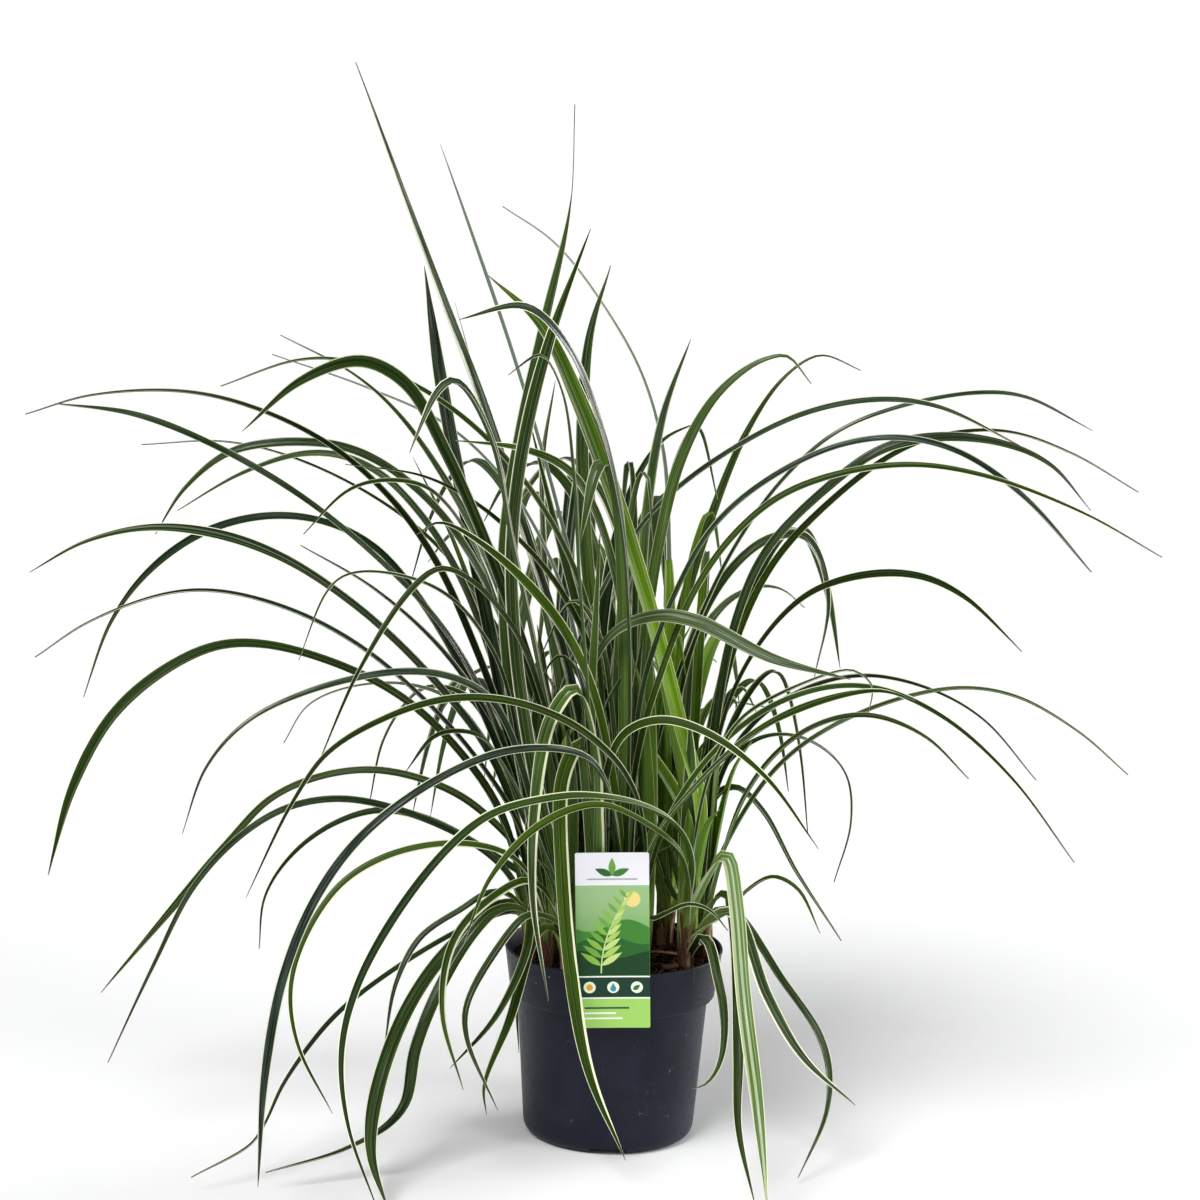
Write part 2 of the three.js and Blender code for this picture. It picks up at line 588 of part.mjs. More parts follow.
// A loose collar of papery leaf base, open at the top and torn along its upper edge.
function makeSheath({ x, y }, random) {
  const inner = STEM.footRadius + GAP;
  const outer = inner + SHEATH.thickness;
  const foot = soilTop(x, y) - SHEATH.buried;
  const rim = soilTop(x, y) + SHEATH.height;
  const profile = [[inner, foot], [outer, foot], [outer, rim], [inner, rim], [inner, foot]];
  const geometry = weld(lathe(profile, STEM.sides));
  const points = geometry.getAttribute("position");
  const tears = Array.from({ length: STEM.sides }, () => SHEATH.ragged * random());
  for (let i = 0; i < points.count; i += 1) {
    if (points.getZ(i) < rim - GAP) continue;
    const side = Math.round((Math.atan2(points.getY(i), points.getX(i)) / Math.PI / 2) * STEM.sides);
    points.setZ(i, rim - tears[(side + STEM.sides) % STEM.sides]);
  }
  return geometry.translate(x, y, 0);
}

// ---- Blades --------------------------------------------------------------------------

function toElevation(point) {
  const scale = -EYE.y / (point.y - EYE.y);
  return [EYE.x + (point.x - EYE.x) * scale, EYE.z + (point.z - EYE.z) * scale];
}

function fromElevation(x, z, depth) {
  const scale = (depth - EYE.y) / -EYE.y;
  return new THREE.Vector3(EYE.x + (x - EYE.x) * scale, depth, EYE.z + (z - EYE.z) * scale);
}

function smoothRoute(points) {
  return new THREE.CatmullRomCurve3(points, false, "centripetal").getSpacedPoints(ROUTE_STEPS);
}

// The route of a blade given in elevation: its points slide along their sight lines to the
// depth that the blade has there, so a shift in depth leaves the elevation as it is.
function elevationRoute(root, tipDepth, outline, shift) {
  const start = toElevation(root);
  const rise = toElevation(root.clone().setZ(root.z + BLADE.upright));
  const flat = [start, rise, ...outline].map(([x, z]) => new THREE.Vector3(x, 0, z));
  return smoothRoute(flat).map((point, i) => {
    const along = i / ROUTE_STEPS;
    const shifted = shift * smooth(along, DEPTH.shiftFrom, DEPTH.shiftTo);
    const depth = root.y + tipDepth * along ** DEPTH.power + shifted;
    const place = fromElevation(point.x, point.z, depth);
    return place.setZ(Math.max(place.z, BLADE.floorClearance + SPACE.cell));
  });
}

function fillRoute(root, { turn, reach, rise, droop }) {
  const way = new THREE.Vector3(Math.cos(turn), Math.sin(turn), 0);
  const points = ARCH.map(([out, up], i) => {
    const height = root.z + (up - droop * ARCH_DROOP[i]) * rise;
    return root.clone().addScaledVector(way, out * reach).setZ(height);
  });
  return smoothRoute(points);
}

// Rings lie closer together where the blade bends.
function ringPlaces(route) {
  const load = [0];
  for (let i = 1; i < route.length; i += 1) {
    const step = route[i].clone().sub(route[i - 1]);
    const next = route[Math.min(i + 1, route.length - 1)].clone().sub(route[i]);
    const turn = i < route.length - 1 ? THREE.MathUtils.radToDeg(step.angleTo(next)) : 0;
    load.push(load[i - 1] + step.length() / BLADE.ringPitch + turn / BLADE.ringTurn);
  }
  const rings = Math.max(BLADE.ringsLeast, Math.round(load.at(-1)));
  return Array.from({ length: rings + 1 }, (_, ring) => {
    const wanted = (load.at(-1) * ring) / rings;
    const at = load.findIndex((value) => value >= wanted - 1e-9);
    return at / (route.length - 1);
  });
}

function bladeWidth(along, width) {
  const base = THREE.MathUtils.lerp(BLADE.baseShare, 1, smooth(along, 0, BLADE.fullFrom));
  const taper = 1 - smooth(along, BLADE.taperFrom, BLADE.taperTo) ** BLADE.taperPower;
  return BLADE.tipWidth + (width - BLADE.tipWidth) * base * taper;
}

// One ring of a blade: its middle, its half width vector and its face normal.
function bladeRing(route, along, { width, lean, twist }) {
  const at = Math.round(along * (route.length - 1));
  const middle = route[at];
  const before = route[Math.max(at - 1, 0)];
  const after = route[Math.min(at + 1, route.length - 1)];
  const ahead = after.clone().sub(before).normalize();
  const run = route.at(-1).clone().sub(route[0]).setZ(0).normalize();
  const side = run.clone().cross(UP).normalize();
  const raised = smooth(middle.z, ...BLADE.layDown);
  const face = side.clone().cross(ahead).addScaledVector(TOWARD_EYE, lean * raised);
  face.addScaledVector(ahead, -face.dot(ahead)).normalize();
  face.applyAxisAngle(ahead, twist * along * raised);
  const across = ahead.clone().cross(face).normalize();
  const wide = bladeWidth(along, width);
  const keel = Math.max(BLADE.keelLeast, BLADE.keel * wide);
  return { middle, across: across.multiplyScalar(wide / 2), face, keel };
}

function bladeSolid(blade) {
  const places = ringPlaces(blade.route);
  const rings = places.slice(0, -1).map((along) => bladeRing(blade.route, along, blade));
  const corners = [];
  for (const { middle, across, face, keel } of rings) {
    corners.push(middle.clone().sub(across), middle.clone().add(across));
    corners.push(middle.clone().addScaledVector(face, -keel));
  }
  corners.push(blade.route.at(-1));
  const faces = [0, 2, 1];
  for (let ring = 0; ring < rings.length - 1; ring += 1) {
    for (let side = 0; side < 3; side += 1) {
      const a = ring * 3 + side;
      const b = ring * 3 + ((side + 1) % 3);
      faces.push(a, b, b + 3, a, b + 3, a + 3);
    }
  }
  const last = (rings.length - 1) * 3;
  faces.push(last, last + 1, last + 3, last + 1, last + 2, last + 3, last + 2, last, last + 3);
  const geometry = new THREE.BufferGeometry().setFromPoints(corners);
  geometry.setIndex(faces);
  return toSolid(geometry);
}

// ---- Keeping the stems' blades clear of each other -------------------------------------

// Each stem marks the cells that it takes with a bit of its own, the pot and the label share
// one, and the outer part of each blade also marks its cells with a number of its own.
const HARD_BIT = 2 ** 30;
const cells = [SPACE.x, SPACE.y, SPACE.z].map(([low, high]) => Math.ceil((high - low) / SPACE.cell));
const takenBy = new Uint32Array(cells[0] * cells[1] * cells[2]);
const outerOf = new Uint8Array(takenBy.length);

function cellOf(point) {
  const i = Math.floor((point.x - SPACE.x[0]) / SPACE.cell);
  const j = Math.floor((point.y - SPACE.y[0]) / SPACE.cell);
  const k = Math.floor((point.z - SPACE.z[0]) / SPACE.cell);
  if ([i, j, k].some((place, axis) => place < 1 || place >= cells[axis] - 1)) return -1;
  return (k * cells[1] + j) * cells[0] + i;
}

function claim(point, bit, number = 0) {
  const middle = cellOf(point);
  if (middle < 0) return;
  for (let k = -1; k <= 1; k += 1) {
    for (let j = -1; j <= 1; j += 1) {
      for (let i = -1; i <= 1; i += 1) {
        const cell = middle + (k * cells[1] + j) * cells[0] + i;
        takenBy[cell] |= bit;
        if (number && !outerOf[cell]) outerOf[cell] = number;
      }
    }
  }
}

// Points all over a blade, closer together than the cells are wide.
function bladePoints(blade) {
  const length = blade.route.reduce((sum, point, i, all) => (i ? sum + point.distanceTo(all[i - 1]) : 0), 0);
  const stations = Math.ceil(length / (SPACE.cell * 0.8));
  const points = [];
  for (let i = 0; i <= stations; i += 1) {
    const along = i / stations;
    const { middle, across, face, keel } = bladeRing(blade.route, along, blade);
    const inner = along * length < SPACE.outerFrom;
    const freed = along * length > STEM.height;
    for (const share of [-1, -0.5, 0, 0.5, 1]) {
      points.push({ at: middle.clone().addScaledVector(across, share), inner, freed });
    }
    points.push({ at: middle.clone().addScaledVector(face, -keel), inner, freed });
  }
  return points;
}

function isInPot({ x, y, z }) {
  return Math.hypot(x, y) < POT.rimRadius && z < soilTop(x, y) + BLADE.soilClearance;
}

function isClear(points, bit) {
  return points.every(({ at, inner, freed }) => {
    if (at.z < BLADE.floorClearance || (freed && isInPot(at))) return false;
    const cell = cellOf(at);
    if (cell < 0) return true;
    return !(takenBy[cell] & ~bit) && (inner || !outerOf[cell]);
  });
}

function claimHardParts() {
  const onRing = (radius, turn, z) => new THREE.Vector3(radius, 0, z).applyAxisAngle(UP, turn);
  const turns = Math.ceil((2 * Math.PI * POT.rimRadius) / SPACE.cell);
  for (let z = 0; z <= POT.height + GAP; z += SPACE.cell) {
    for (let i = 0; i < turns; i += 1) {
      claim(onRing(potOuterRadius(z), (2 * Math.PI * i) / turns, z), HARD_BIT);
      claim(onRing(potInnerRadius(z), (2 * Math.PI * i) / turns, z), HARD_BIT);
    }
  }
  const half = LABEL.width / 2 + SPACE.cell;
  for (let x = -half; x <= half; x += SPACE.cell) {
    for (let z = LABEL.foot; z <= LABEL.foot + LABEL.height + SPACE.cell; z += SPACE.cell) {
      const y = -POT.rimRadius - LABEL.rimClearance - (z - POT.height) * Math.tan(radians(LABEL.lean));
      claim(new THREE.Vector3(x + LABEL.x, y, z), HARD_BIT);
    }
  }
}

// The first route that is clear is taken. A blade of the elevation shifts in depth, one of the
// filling swings round its stem, and a filling blade that finds no way is left out.
function settle(candidates, bit, number) {
  for (const blade of candidates) {
    const points = bladePoints(blade);
    if (isClear(points, bit)) {
      for (const { at, inner } of points) claim(at, bit, inner ? 0 : number);
      return blade;
    }
  }
  return null;
}

// ---- The whole sedge -----------------------------------------------------------------

function* elevationBlades(stem, [width, tipDepth, ...outline], random) {
  const middle = outline[Math.floor(outline.length / 2)];
  const root = rootOf(stem, Math.atan2(tipDepth, middle[0] - stem.x), outline[0][1] - POT.height);
  const lean = THREE.MathUtils.lerp(...BLADE.lean, random());
  const look = { width, lean, twist: radians(BLADE.twist * (2 * random() - 1)) };
  for (let size = 0; size <= SHIFTS.most; size += SHIFTS.step) {
    for (const shift of size ? [size, -size] : [0]) {
      yield { ...look, route: elevationRoute(root, tipDepth, outline, shift) };
    }
  }
}

function* fillBlades(stem, { first, last, reach, rise }, random) {
  const width = THREE.MathUtils.lerp(...FILL.width, random());
  const twist = radians(FILL.twist * (2 * random() - 1));
  for (let trial = 0; trial < FILL.trials; trial += 1) {
    const turn = radians(THREE.MathUtils.lerp(first, last, random()));
    const up = THREE.MathUtils.lerp(...rise, random());
    const out = THREE.MathUtils.lerp(...reach, random());
    const sag = random() * smooth(out, FILL.droopFrom, FILL.droopFull);
    const droop = THREE.MathUtils.lerp(FILL.droopLeast, FILL.droopMost, sag);
    const root = rootOf(stem, turn, up / 2);
    yield { width, lean: 0, twist, route: fillRoute(root, { turn, reach: out, rise: up, droop }) };
  }
}

// Each blade leaves its stem on the side that it heads for, the tall ones higher up.
function rootOf({ x, y }, heading, firstRise) {
  const { low, high, lowRise, highRise, outShare } = ROOTS;
  const rise = THREE.MathUtils.clamp(firstRise, lowRise, highRise);
  const height = THREE.MathUtils.mapLinear(rise, lowRise, highRise, low, high);
  const out = new THREE.Vector3(STEM.topRadius * outShare, 0, 0).applyAxisAngle(UP, heading);
  return out.add(new THREE.Vector3(x, y, soilTop(x, y) + height));
}

function claimStems() {
  Object.values(STEMS).forEach(({ x, y }, i) => {
    const foot = soilTop(x, y);
    for (let z = foot; z < foot + STEM.height; z += SPACE.cell) {
      for (let side = 0; side < STEM.sides; side += 1) {
        const turn = (2 * Math.PI * side) / STEM.sides;
        const rim = new THREE.Vector3(STEM.topRadius, 0, z).applyAxisAngle(UP, turn);
        claim(rim.add(new THREE.Vector3(x, y, 0)), 1 << i);
      }
    }
  });
}

// The widest blades take their places first, and the filling goes in last.
function settleBlades() {
  const random = seededRandom(SEED.blades);
  const stems = Object.values(STEMS);
  const wanted = stems.flatMap((stem, i) =>
    stem.blades.map((row) => ({ i, width: row[0], candidates: [...elevationBlades(stem, row, random)] })),
  );
  wanted.sort((one, other) => other.width - one.width);
  for (const fill of FILLS) {
    for (let k = 0; k < fill.count; k += 1) {
      const i = Object.keys(STEMS).indexOf(fill.stems[k % fill.stems.length]);
      wanted.push({ i, width: 0, candidates: [...fillBlades(stems[i], fill, random)] });
    }
  }
  const settled = stems.map(() => []);
  wanted.forEach(({ i, candidates }, number) => {
    const blade = settle(candidates, 1 << i, number + 1);
    if (blade) settled[i].push(blade);
  });
  return settled;
}

claimHardParts();
claimStems();
addMesh("pot", makePot(), finish(0x24262f, 0.5));
const soil = addMesh("potting_soil", makeSoil(), finish(0x2a1a12, 0.95));
addMesh("plant_label", makeLabel(), finish(0x9fcf66, 0.4));
addMesh("straw", makeStraw(soil), finish(0xb98d5c, 0.8));
BARK.forEach((chip, i) => addMesh(`bark_chip_${i + 1}`, makeBark(soil, chip), finish(0x6b3a22, 0.9)));

const leafGreen = finish(0x3f6b27, 0.5);
const sheathBrown = finish(0x5e3428, 0.8);
const settled = settleBlades();
const tearing = seededRandom(SEED.sheaths);
Object.entries(STEMS).forEach(([name, stem], i) => {
  const solid = settled[i].reduce((leafy, blade) => leafy.add(bladeSolid(blade)), makeStem(stem));
  addMesh(`tiller_${name}`, toGeometry(solid), leafGreen);
  addMesh(`sheath_${name}`, makeSheath(stem, tearing), sheathBrown);
});

export default group;
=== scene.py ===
"""A variegated carex sedge in a round nursery pot, with a plant label hooked over the rim.

Everything is in metres, in the frame of the CAD model: +Z up, the label on the -Y side.
"""
import math

import bmesh
import bpy
import numpy as np
from mathutils import Matrix, Vector, noise


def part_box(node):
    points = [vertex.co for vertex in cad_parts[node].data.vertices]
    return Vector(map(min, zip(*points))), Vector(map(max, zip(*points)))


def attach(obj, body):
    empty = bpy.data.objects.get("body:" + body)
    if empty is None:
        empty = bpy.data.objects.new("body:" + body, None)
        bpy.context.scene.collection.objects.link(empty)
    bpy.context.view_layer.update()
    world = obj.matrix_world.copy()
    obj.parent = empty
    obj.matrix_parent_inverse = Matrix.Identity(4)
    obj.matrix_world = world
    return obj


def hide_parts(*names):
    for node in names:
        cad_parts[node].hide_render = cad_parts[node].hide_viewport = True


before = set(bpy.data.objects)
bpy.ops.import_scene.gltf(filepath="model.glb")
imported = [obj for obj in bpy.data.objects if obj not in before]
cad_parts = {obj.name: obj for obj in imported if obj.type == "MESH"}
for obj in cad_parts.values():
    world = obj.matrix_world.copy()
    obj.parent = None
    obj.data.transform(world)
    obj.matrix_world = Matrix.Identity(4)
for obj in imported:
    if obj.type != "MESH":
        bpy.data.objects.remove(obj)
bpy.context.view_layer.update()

MM = 0.001
UP = np.array([0.0, 0.0, 1.0])
POT_TOP, RIM_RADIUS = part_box("pot")[1].z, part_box("pot")[1].x

# ---- Driving sizes ----------------------------------------------------------------------

# The pot's profile, where the frame doesn't give it.
POT = {
    "wall": 1.8 * MM,
    "band_foot": 113 * MM,
    "band_foot_radius": 80 * MM,
    "body_top_radius": 74.8 * MM,
    "body_foot_radius": 67 * MM,
    "edge_radius": 10 * MM,
    "ring_radius": 51 * MM,
    "pad_radius": 16 * MM,
    "floor": 5.5 * MM,
    "sides": 144,
}
NOTCH = {
    "width": 30 * MM, "height": 5 * MM, "corner": 3.5 * MM, "overrun": 4 * MM,
    "directions": (-90, 30, 150),
}
LABEL = {
    "width": 56 * MM,
    "height": 140 * MM,
    "thickness": 0.7 * MM,
    "foot": 109 * MM,
    "corner": 1.4 * MM,
    "x": -1.5 * MM,
    "tilt": 2.4,
    "lean": 3.0,
    "rim_clearance": 0.7 * MM,
    "bow": 1.1 * MM,
    "rows": 46,
    "columns": 21,
    "cell": 3.5 * MM,
}
# The card's bands of colour: how far up the card each one ends, as a share of its height.
BANDS = {"foot": 0.168, "foot_line": 0.176, "badges": 0.290, "badge_line": 0.298, "view": 0.815}
# The strip that hooks over the rim, and how far it hangs from the wall's inside.
TONGUE = {"width": 15 * MM, "wall_gap": 2.2 * MM}
# The print, in millimetres: how high its parts lie from the card's middle, and its film.
PRINT = {
    "view_foot": -28.1, "badges": -37.4, "lines": (-54.6, -58.8, -63.0), "emblem": 52,
    "emblem_line": 48.6, "film": 0.02, "film_step": 0.005, "film_depth": 0.2,
}
# The soil's heights are above the floor, and lumps says how high its lumps are.
SOIL = {
    "wall_height": 138 * MM, "middle_height": 144 * MM, "flat_share": 0.35, "gap": 0.5 * MM,
    "lump": 11 * MM, "lumps": 2.2 * MM, "sides": 168, "rings": 64,
}
# The raised soil at the right-hand clump of stems.
CLUMP = {"x": 66 * MM, "y": 0.0, "height": 4.5 * MM, "spread": 22.4 * MM}
# Root fibres on the soil. Their pairs of lengths are in millimetres.
FIBRE = {
    "count": 230, "points": 16, "length": (9, 34), "rim_gap": 3 * MM, "bend": 0.16, "wander": 0.25,
    "half": (0.16, 0.5), "section_points": 6, "thickness": 0.1 * MM,
}
# A root that hangs over the rim, as steps out from the rim and up from it, in millimetres.
RIM_ROOT = {
    "direction": -44, "half": 0.42 * MM, "step": 1.5 * MM,
    "shape": [
        (-11, -9), (-8, -3), (-4, 0.6), (-0.6, 1.1), (1.0, -0.6), (1.1, -5), (0.8, -9), (1.6, -13),
    ],
}
# A stalk of straw. The half width of the stalk and what a knot adds to it are in millimetres.
STRAW = {
    "direction": -12, "end_gap": 1.4 * MM, "half": 1.05, "knot": 0.28, "knots": (0.62, 0.2),
    "knot_width": 0.02, "step": 1.2 * MM, "section_points": 14, "thickness": 0.1 * MM,
}
# The bark chips: the size of their cells, and the length and height of their flakes.
BARK = {"skin": 0.5 * MM, "lump": 4 * MM, "roughness": 0.7 * MM}
STEM = {"radius": 4.4 * MM, "top_radius": 2.6 * MM, "height": 58 * MM, "points": 12}
# Papery sheaths at a stem's foot. Their pairs of lengths are in millimetres.
SHEATH = {
    "count": 6, "buried": 7 * MM, "height": (18, 44), "flare": (0.5, 5), "gap": (0.6, 1.6),
    "half": (3.0, 5.2), "torn": 0.22, "step": 2 * MM, "narrowed": 0.85, "section_points": 12,
    "thickness": 0.25 * MM,
}
# What all blades share. The length of their waves is in millimetres.
BLADE = {
    "step": 5.5 * MM,
    "section_points": 16,
    "thickness": 0.42 * MM,
    "keel": 0.55 * MM,
    "fuller": (1.1, 1.2),
    "base_share": 0.94,
    "full_from": 0.2,
    "long_taper": (180 * MM, 400 * MM),
    "short_taper": (80 * MM, 190 * MM),
    "most_taper": 0.55,
    "taper_power": 1.75,
    "levelled": (0.35, 1.3),
    "twisted": 0.5,
    "twist": (0.5, 0.78),
    "tip_half": 0.25 * MM,
    "fold": 0.42,
    "fold_spread": (0.6, 1.5),
    "base_fold": 0.95,
    "opened_from": 0.3,
    "wave": 0.5 * MM,
    "wave_length": (45, 90),
    "floor_clearance": 1.6 * MM,
    "foot_rise": (20 * MM, 110 * MM),
    "upright_reach": (100 * MM, 240 * MM),
    "upright_height": (240 * MM, 400 * MM),
    "widest": 8 * MM,
    "shortest_end": 15 * MM,
    "cream_sided": 0.12,
}
# The short young blades at the heart of each stem.
YOUNG = {
    "count": 4, "height": (90 * MM, 270 * MM), "reach": (6 * MM, 45 * MM),
    "half": (4.6 * MM, 6.6 * MM),
}
CAMERA = {"place": (-0.0196, -2.8, 0.949), "lens": 110.97, "sensor": 36.0, "down": 10.6, "roll": 1.86}
STAGE = {
    "floor": 200.0,
    "sky": (0.97, 0.98, 1.0),
    "sky_strength": 0.31,
    "suns": [
        ("key", (-1.1, -1.7, 2.4), 30, 2.6), ("fill", (2.4, -1.4, 1.3), 26, 0.9),
        ("rim", (2.2, 1.5, 0.3), 34, 3.6),
    ],
}
# A leaf that bends over the rim and hangs down beside the pot. Its spine is in millimetres.
HANGING = {
    "stem": "right_1",
    "half": 4.7 * MM,
    "face": (0.4, -0.9, 0.15),
    "hidden": 160 * MM,
    "spine": [
        (56, -19, 148), (61, -31, 162), (67, -42, 170), (72, -50, 168), (75.5, -52, 158),
        (78.5, -52, 145), (84, -50, 121), (86.5, -48, 96), (85, -48, 76), (80, -48, 62),
        (73, -49, 54), (64, -52, 52),
    ],
}
# The share of a stem's short leaves that are fresh, which grows from the left to the right.
FRESH = {"share": (0.15, 0.95), "from_left": (-30 * MM, 40 * MM)}
# What an old leaf is like, and what each other kind of leaf changes.
OLD_LEAF = {
    "youth": (0.0, 0.22), "cream_side": 0.0, "stripes": 0.0, "silver": 0.0, "width": 1.0,
    "taper": 1.0, "thread": 0.0,
}
KINDS = {
    "old": {},
    "cream_sided": {"cream_side": 1.0},
    "cream_right": {"cream_side": -1.0, "width": 1.1},
    "broad": {"youth": (0.2, 0.3), "cream_side": 1.0, "width": 1.4},
    "threaded": {"thread": 66 * MM},
    # A narrow leaf whose colour carries a painted grey sheen, standing for light reflected off it.
    "silver": {"silver": 1.0, "width": 0.72},
    "dark": {"youth": (0.0, 0.04), "width": 1.04},
    "green": {"youth": (0.34, 0.5), "width": 1.1},
    "fresh": {"youth": (0.85, 1.0), "width": 1.28, "taper": 1.7},
    "striped": {"youth": (0.3, 0.4), "stripes": 1.0},
}
# The leaves of a named kind: a stem's leaves are counted by the place of their tips, from the left.
LEAVES = {
    "left_2": {7: "threaded"},
    "middle_2": {1: "broad", 2: "cream_sided", 3: "old"},
    "middle_3": {1: "green", 2: "old", 4: "green"},
    "middle_4": {1: "green", 2: "fresh", 4: "green"},
    "middle_5": {4: "green"},
    "middle_7": {1: "green", 2: "fresh", 5: "green", 6: "green"},
    "middle_8": {0: "silver", 1: "silver"},
    "middle_9": {1: "silver", 5: "green", 6: "green"},
    "right_1": {0: "old", 1: "fresh", 3: "fresh", 4: "fresh", 5: "striped", 7: "cream_right"},
    "right_2": {1: "dark"},
    "right_3": {1: "green", 2: "green"},
    "right_4": {0: "silver", 1: "green", 3: "fresh", 4: "green", 5: "fresh"},
    "young_1": {0: "fresh", 1: "fresh"},
}
SEED = 11


# ---- Node trees -------------------------------------------------------------------------

class Wire:
    """A number or vector flowing through a node tree. Arithmetic on it adds Math nodes."""

    def __init__(self, graph, socket):
        self.graph, self.socket = graph, socket

    def __add__(self, other):
        return self.graph.math("ADD", self, other)

    def __sub__(self, other):
        return self.graph.math("SUBTRACT", self, other)

    def __rsub__(self, other):
        return self.graph.math("SUBTRACT", other, self)

    def __mul__(self, other):
        return self.graph.math("MULTIPLY", self, other)

    def __truediv__(self, other):
        return self.graph.math("DIVIDE", self, other)

    def __pow__(self, other):
        return self.graph.math("POWER", self, other)

    def __abs__(self):
        return self.graph.math("ABSOLUTE", self)

    __radd__ = __add__
    __rmul__ = __mul__


class Graph:
    """Grows a node tree, one node a call. Feeds are wires or plain values, or None to leave one."""

    def __init__(self, tree):
        self.tree = tree

    def add(self, kind, *feeds, named=None, **settings):
        node = self.tree.nodes.new(kind)
        for name, value in settings.items():
            setattr(node, name, value)
        for place, feed in [*enumerate(feeds), *(named or {}).items()]:
            self.feed(node.inputs[place], feed)
        return node

    def feed(self, socket, feed):
        if isinstance(feed, Wire):
            self.tree.links.new(feed.socket, socket)
        elif feed is not None:
            socket.default_value = feed

    def wire(self, node, output=0):
        return Wire(self, node.outputs[output])

    def math(self, operation, *feeds):
        return self.wire(self.add("ShaderNodeMath", *feeds, operation=operation))

    def vector(self, operation, *feeds):
        return self.wire(self.add("ShaderNodeVectorMath", *feeds, operation=operation))

    def scaled(self, vector, scale):
        node = self.add("ShaderNodeVectorMath", vector, named={"Scale": scale}, operation="SCALE")
        return self.wire(node)

    def ease(self, value, start, end, low=0.0, high=1.0):
        node = self.add("ShaderNodeMapRange", value, start, end, low, high)
        node.interpolation_type = "SMOOTHSTEP"
        return self.wire(node)

    def split(self, vector):
        node = self.add("ShaderNodeSeparateXYZ", vector)
        return [self.wire(node, axis) for axis in range(3)]

    def join(self, x, y, z):
        return self.wire(self.add("ShaderNodeCombineXYZ", x, y, z))

    def blend(self, share, one, other, mode="MIX"):
        named = {0: share, 6: one, 7: other}
        return self.wire(self.add("ShaderNodeMix", named=named, data_type="RGBA", blend_type=mode), 2)

    def noise(self, vector, scale, detail=3.0, roughness=0.5):
        named = {"Scale": scale, "Detail": detail, "Roughness": roughness}
        return self.wire(self.add("ShaderNodeTexNoise", vector, named=named))


def new_group(name, kind, inputs, outputs):
    """A node group with named sockets, each (name, type, default); gives its graph and inputs."""
    tree = bpy.data.node_groups.new(name, kind)
    for label, socket_type, *default in inputs:
        socket = tree.interface.new_socket(label, in_out="INPUT", socket_type=socket_type)
        if default:
            socket.default_value = default[0]
    for label, socket_type in outputs:
        tree.interface.new_socket(label, in_out="OUTPUT", socket_type=socket_type)
    graph = Graph(tree)
    entry = graph.add("NodeGroupInput")
    return graph, {label: graph.wire(entry, label) for label, *_ in inputs}


# ---- Meshes -----------------------------------------------------------------------------

def placed(name, data):
    """A new object in the scene that holds a mesh, a light or a camera."""
    obj = bpy.data.objects.new(name, data)
    bpy.context.scene.collection.objects.link(obj)
    return obj


def mesh_object(name, points, faces, smooth=True):
    mesh = bpy.data.meshes.new(name)
    mesh.from_pydata([tuple(p) for p in points], [], [tuple(f) for f in faces])
    mesh.update()
    if smooth:
        mesh.shade_smooth()
    return placed(name, mesh)


def band(front, back):
    """The faces that join a closed loop of corners to the like loop behind it."""
    near, far = [*front[1:], front[0]], [*back[1:], back[0]]
    return list(zip(near, front, back, far))


def slab(start, count):
    """The faces of a flat slab, whose front outline's corners come first and then its back's."""
    front, back = range(start, start + count), range(start + count, start + 2 * count)
    return [tuple(front), tuple(reversed(back)), *band(front, back)]


def bake(obj):
    """Turns an object with modifiers into a plain mesh."""
    bpy.context.view_layer.update()
    graph = bpy.context.evaluated_depsgraph_get()
    mesh = bpy.data.meshes.new_from_object(obj.evaluated_get(graph), depsgraph=graph)
    obj.modifiers.clear()
    obj.data = mesh
    mesh.name = obj.name
    return obj


def run_nodes(obj, tree, **values):
    """Runs a geometry tree on an object, with its inputs given by name, and bakes the result."""
    modifier = obj.modifiers.new(tree.name, "NODES")
    modifier.node_group = tree
    for item in tree.interface.items_tree:
        key = item.name.replace(" ", "_").lower()
        if item.in_out == "INPUT" and key in values:
            modifier[item.identifier] = values[key]
    return bake(obj)


def settle(obj, slot, *nodes):
    """Gives a finished piece its body and hides the CAD nodes that it stands for. Its slot is not used."""
    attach(obj, "root")
    if nodes:
        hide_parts(*nodes)
    return obj


# ---- Swept blades -----------------------------------------------------------------------

LINE_VALUES = (
    "half_width", "fold", "roundness", "from_root", "to_tip", "blade_seed", "youth", "cream_side",
    "stripes", "silver",
)


def stored(graph, name, data_type="FLOAT"):
    return graph.wire(graph.add("GeometryNodeInputNamedAttribute", name, data_type=data_type))


def captured(graph, curve, name, place):
    """Keeps each corner's place on a curve under a name, through what is done to the curve later."""
    node = graph.add("GeometryNodeCaptureAttribute", curve)
    node.capture_items.new("VECTOR", name)
    graph.feed(node.inputs[name], place)
    return node


def section_reach(graph, given, share, side):
    """How far each corner of the section lies across the blade and out of its face."""
    half, fold, roundness = (stored(graph, name) for name in ("half_width", "fold", "roundness"))
    out = abs(share)
    lifted = ((out * out + 0.006) ** 0.5 - 0.078) * half
    keel = given["Keel"] * graph.ease(out, 0.0, 0.22, 1.0, 0.0) * graph.ease(side, -0.4, 0.1, 1.0, 0.0)
    shoulder = graph.math("SINE", out * math.pi) * half * 0.055
    flat_across = share * half * graph.math("COSINE", fold)
    flat_height = lifted * graph.math("SINE", fold) + shoulder + side * given["Thickness"] * 0.5 - keel
    across = flat_across + (share * half - flat_across) * roundness
    return across, flat_height + (side * half - flat_height) * roundness


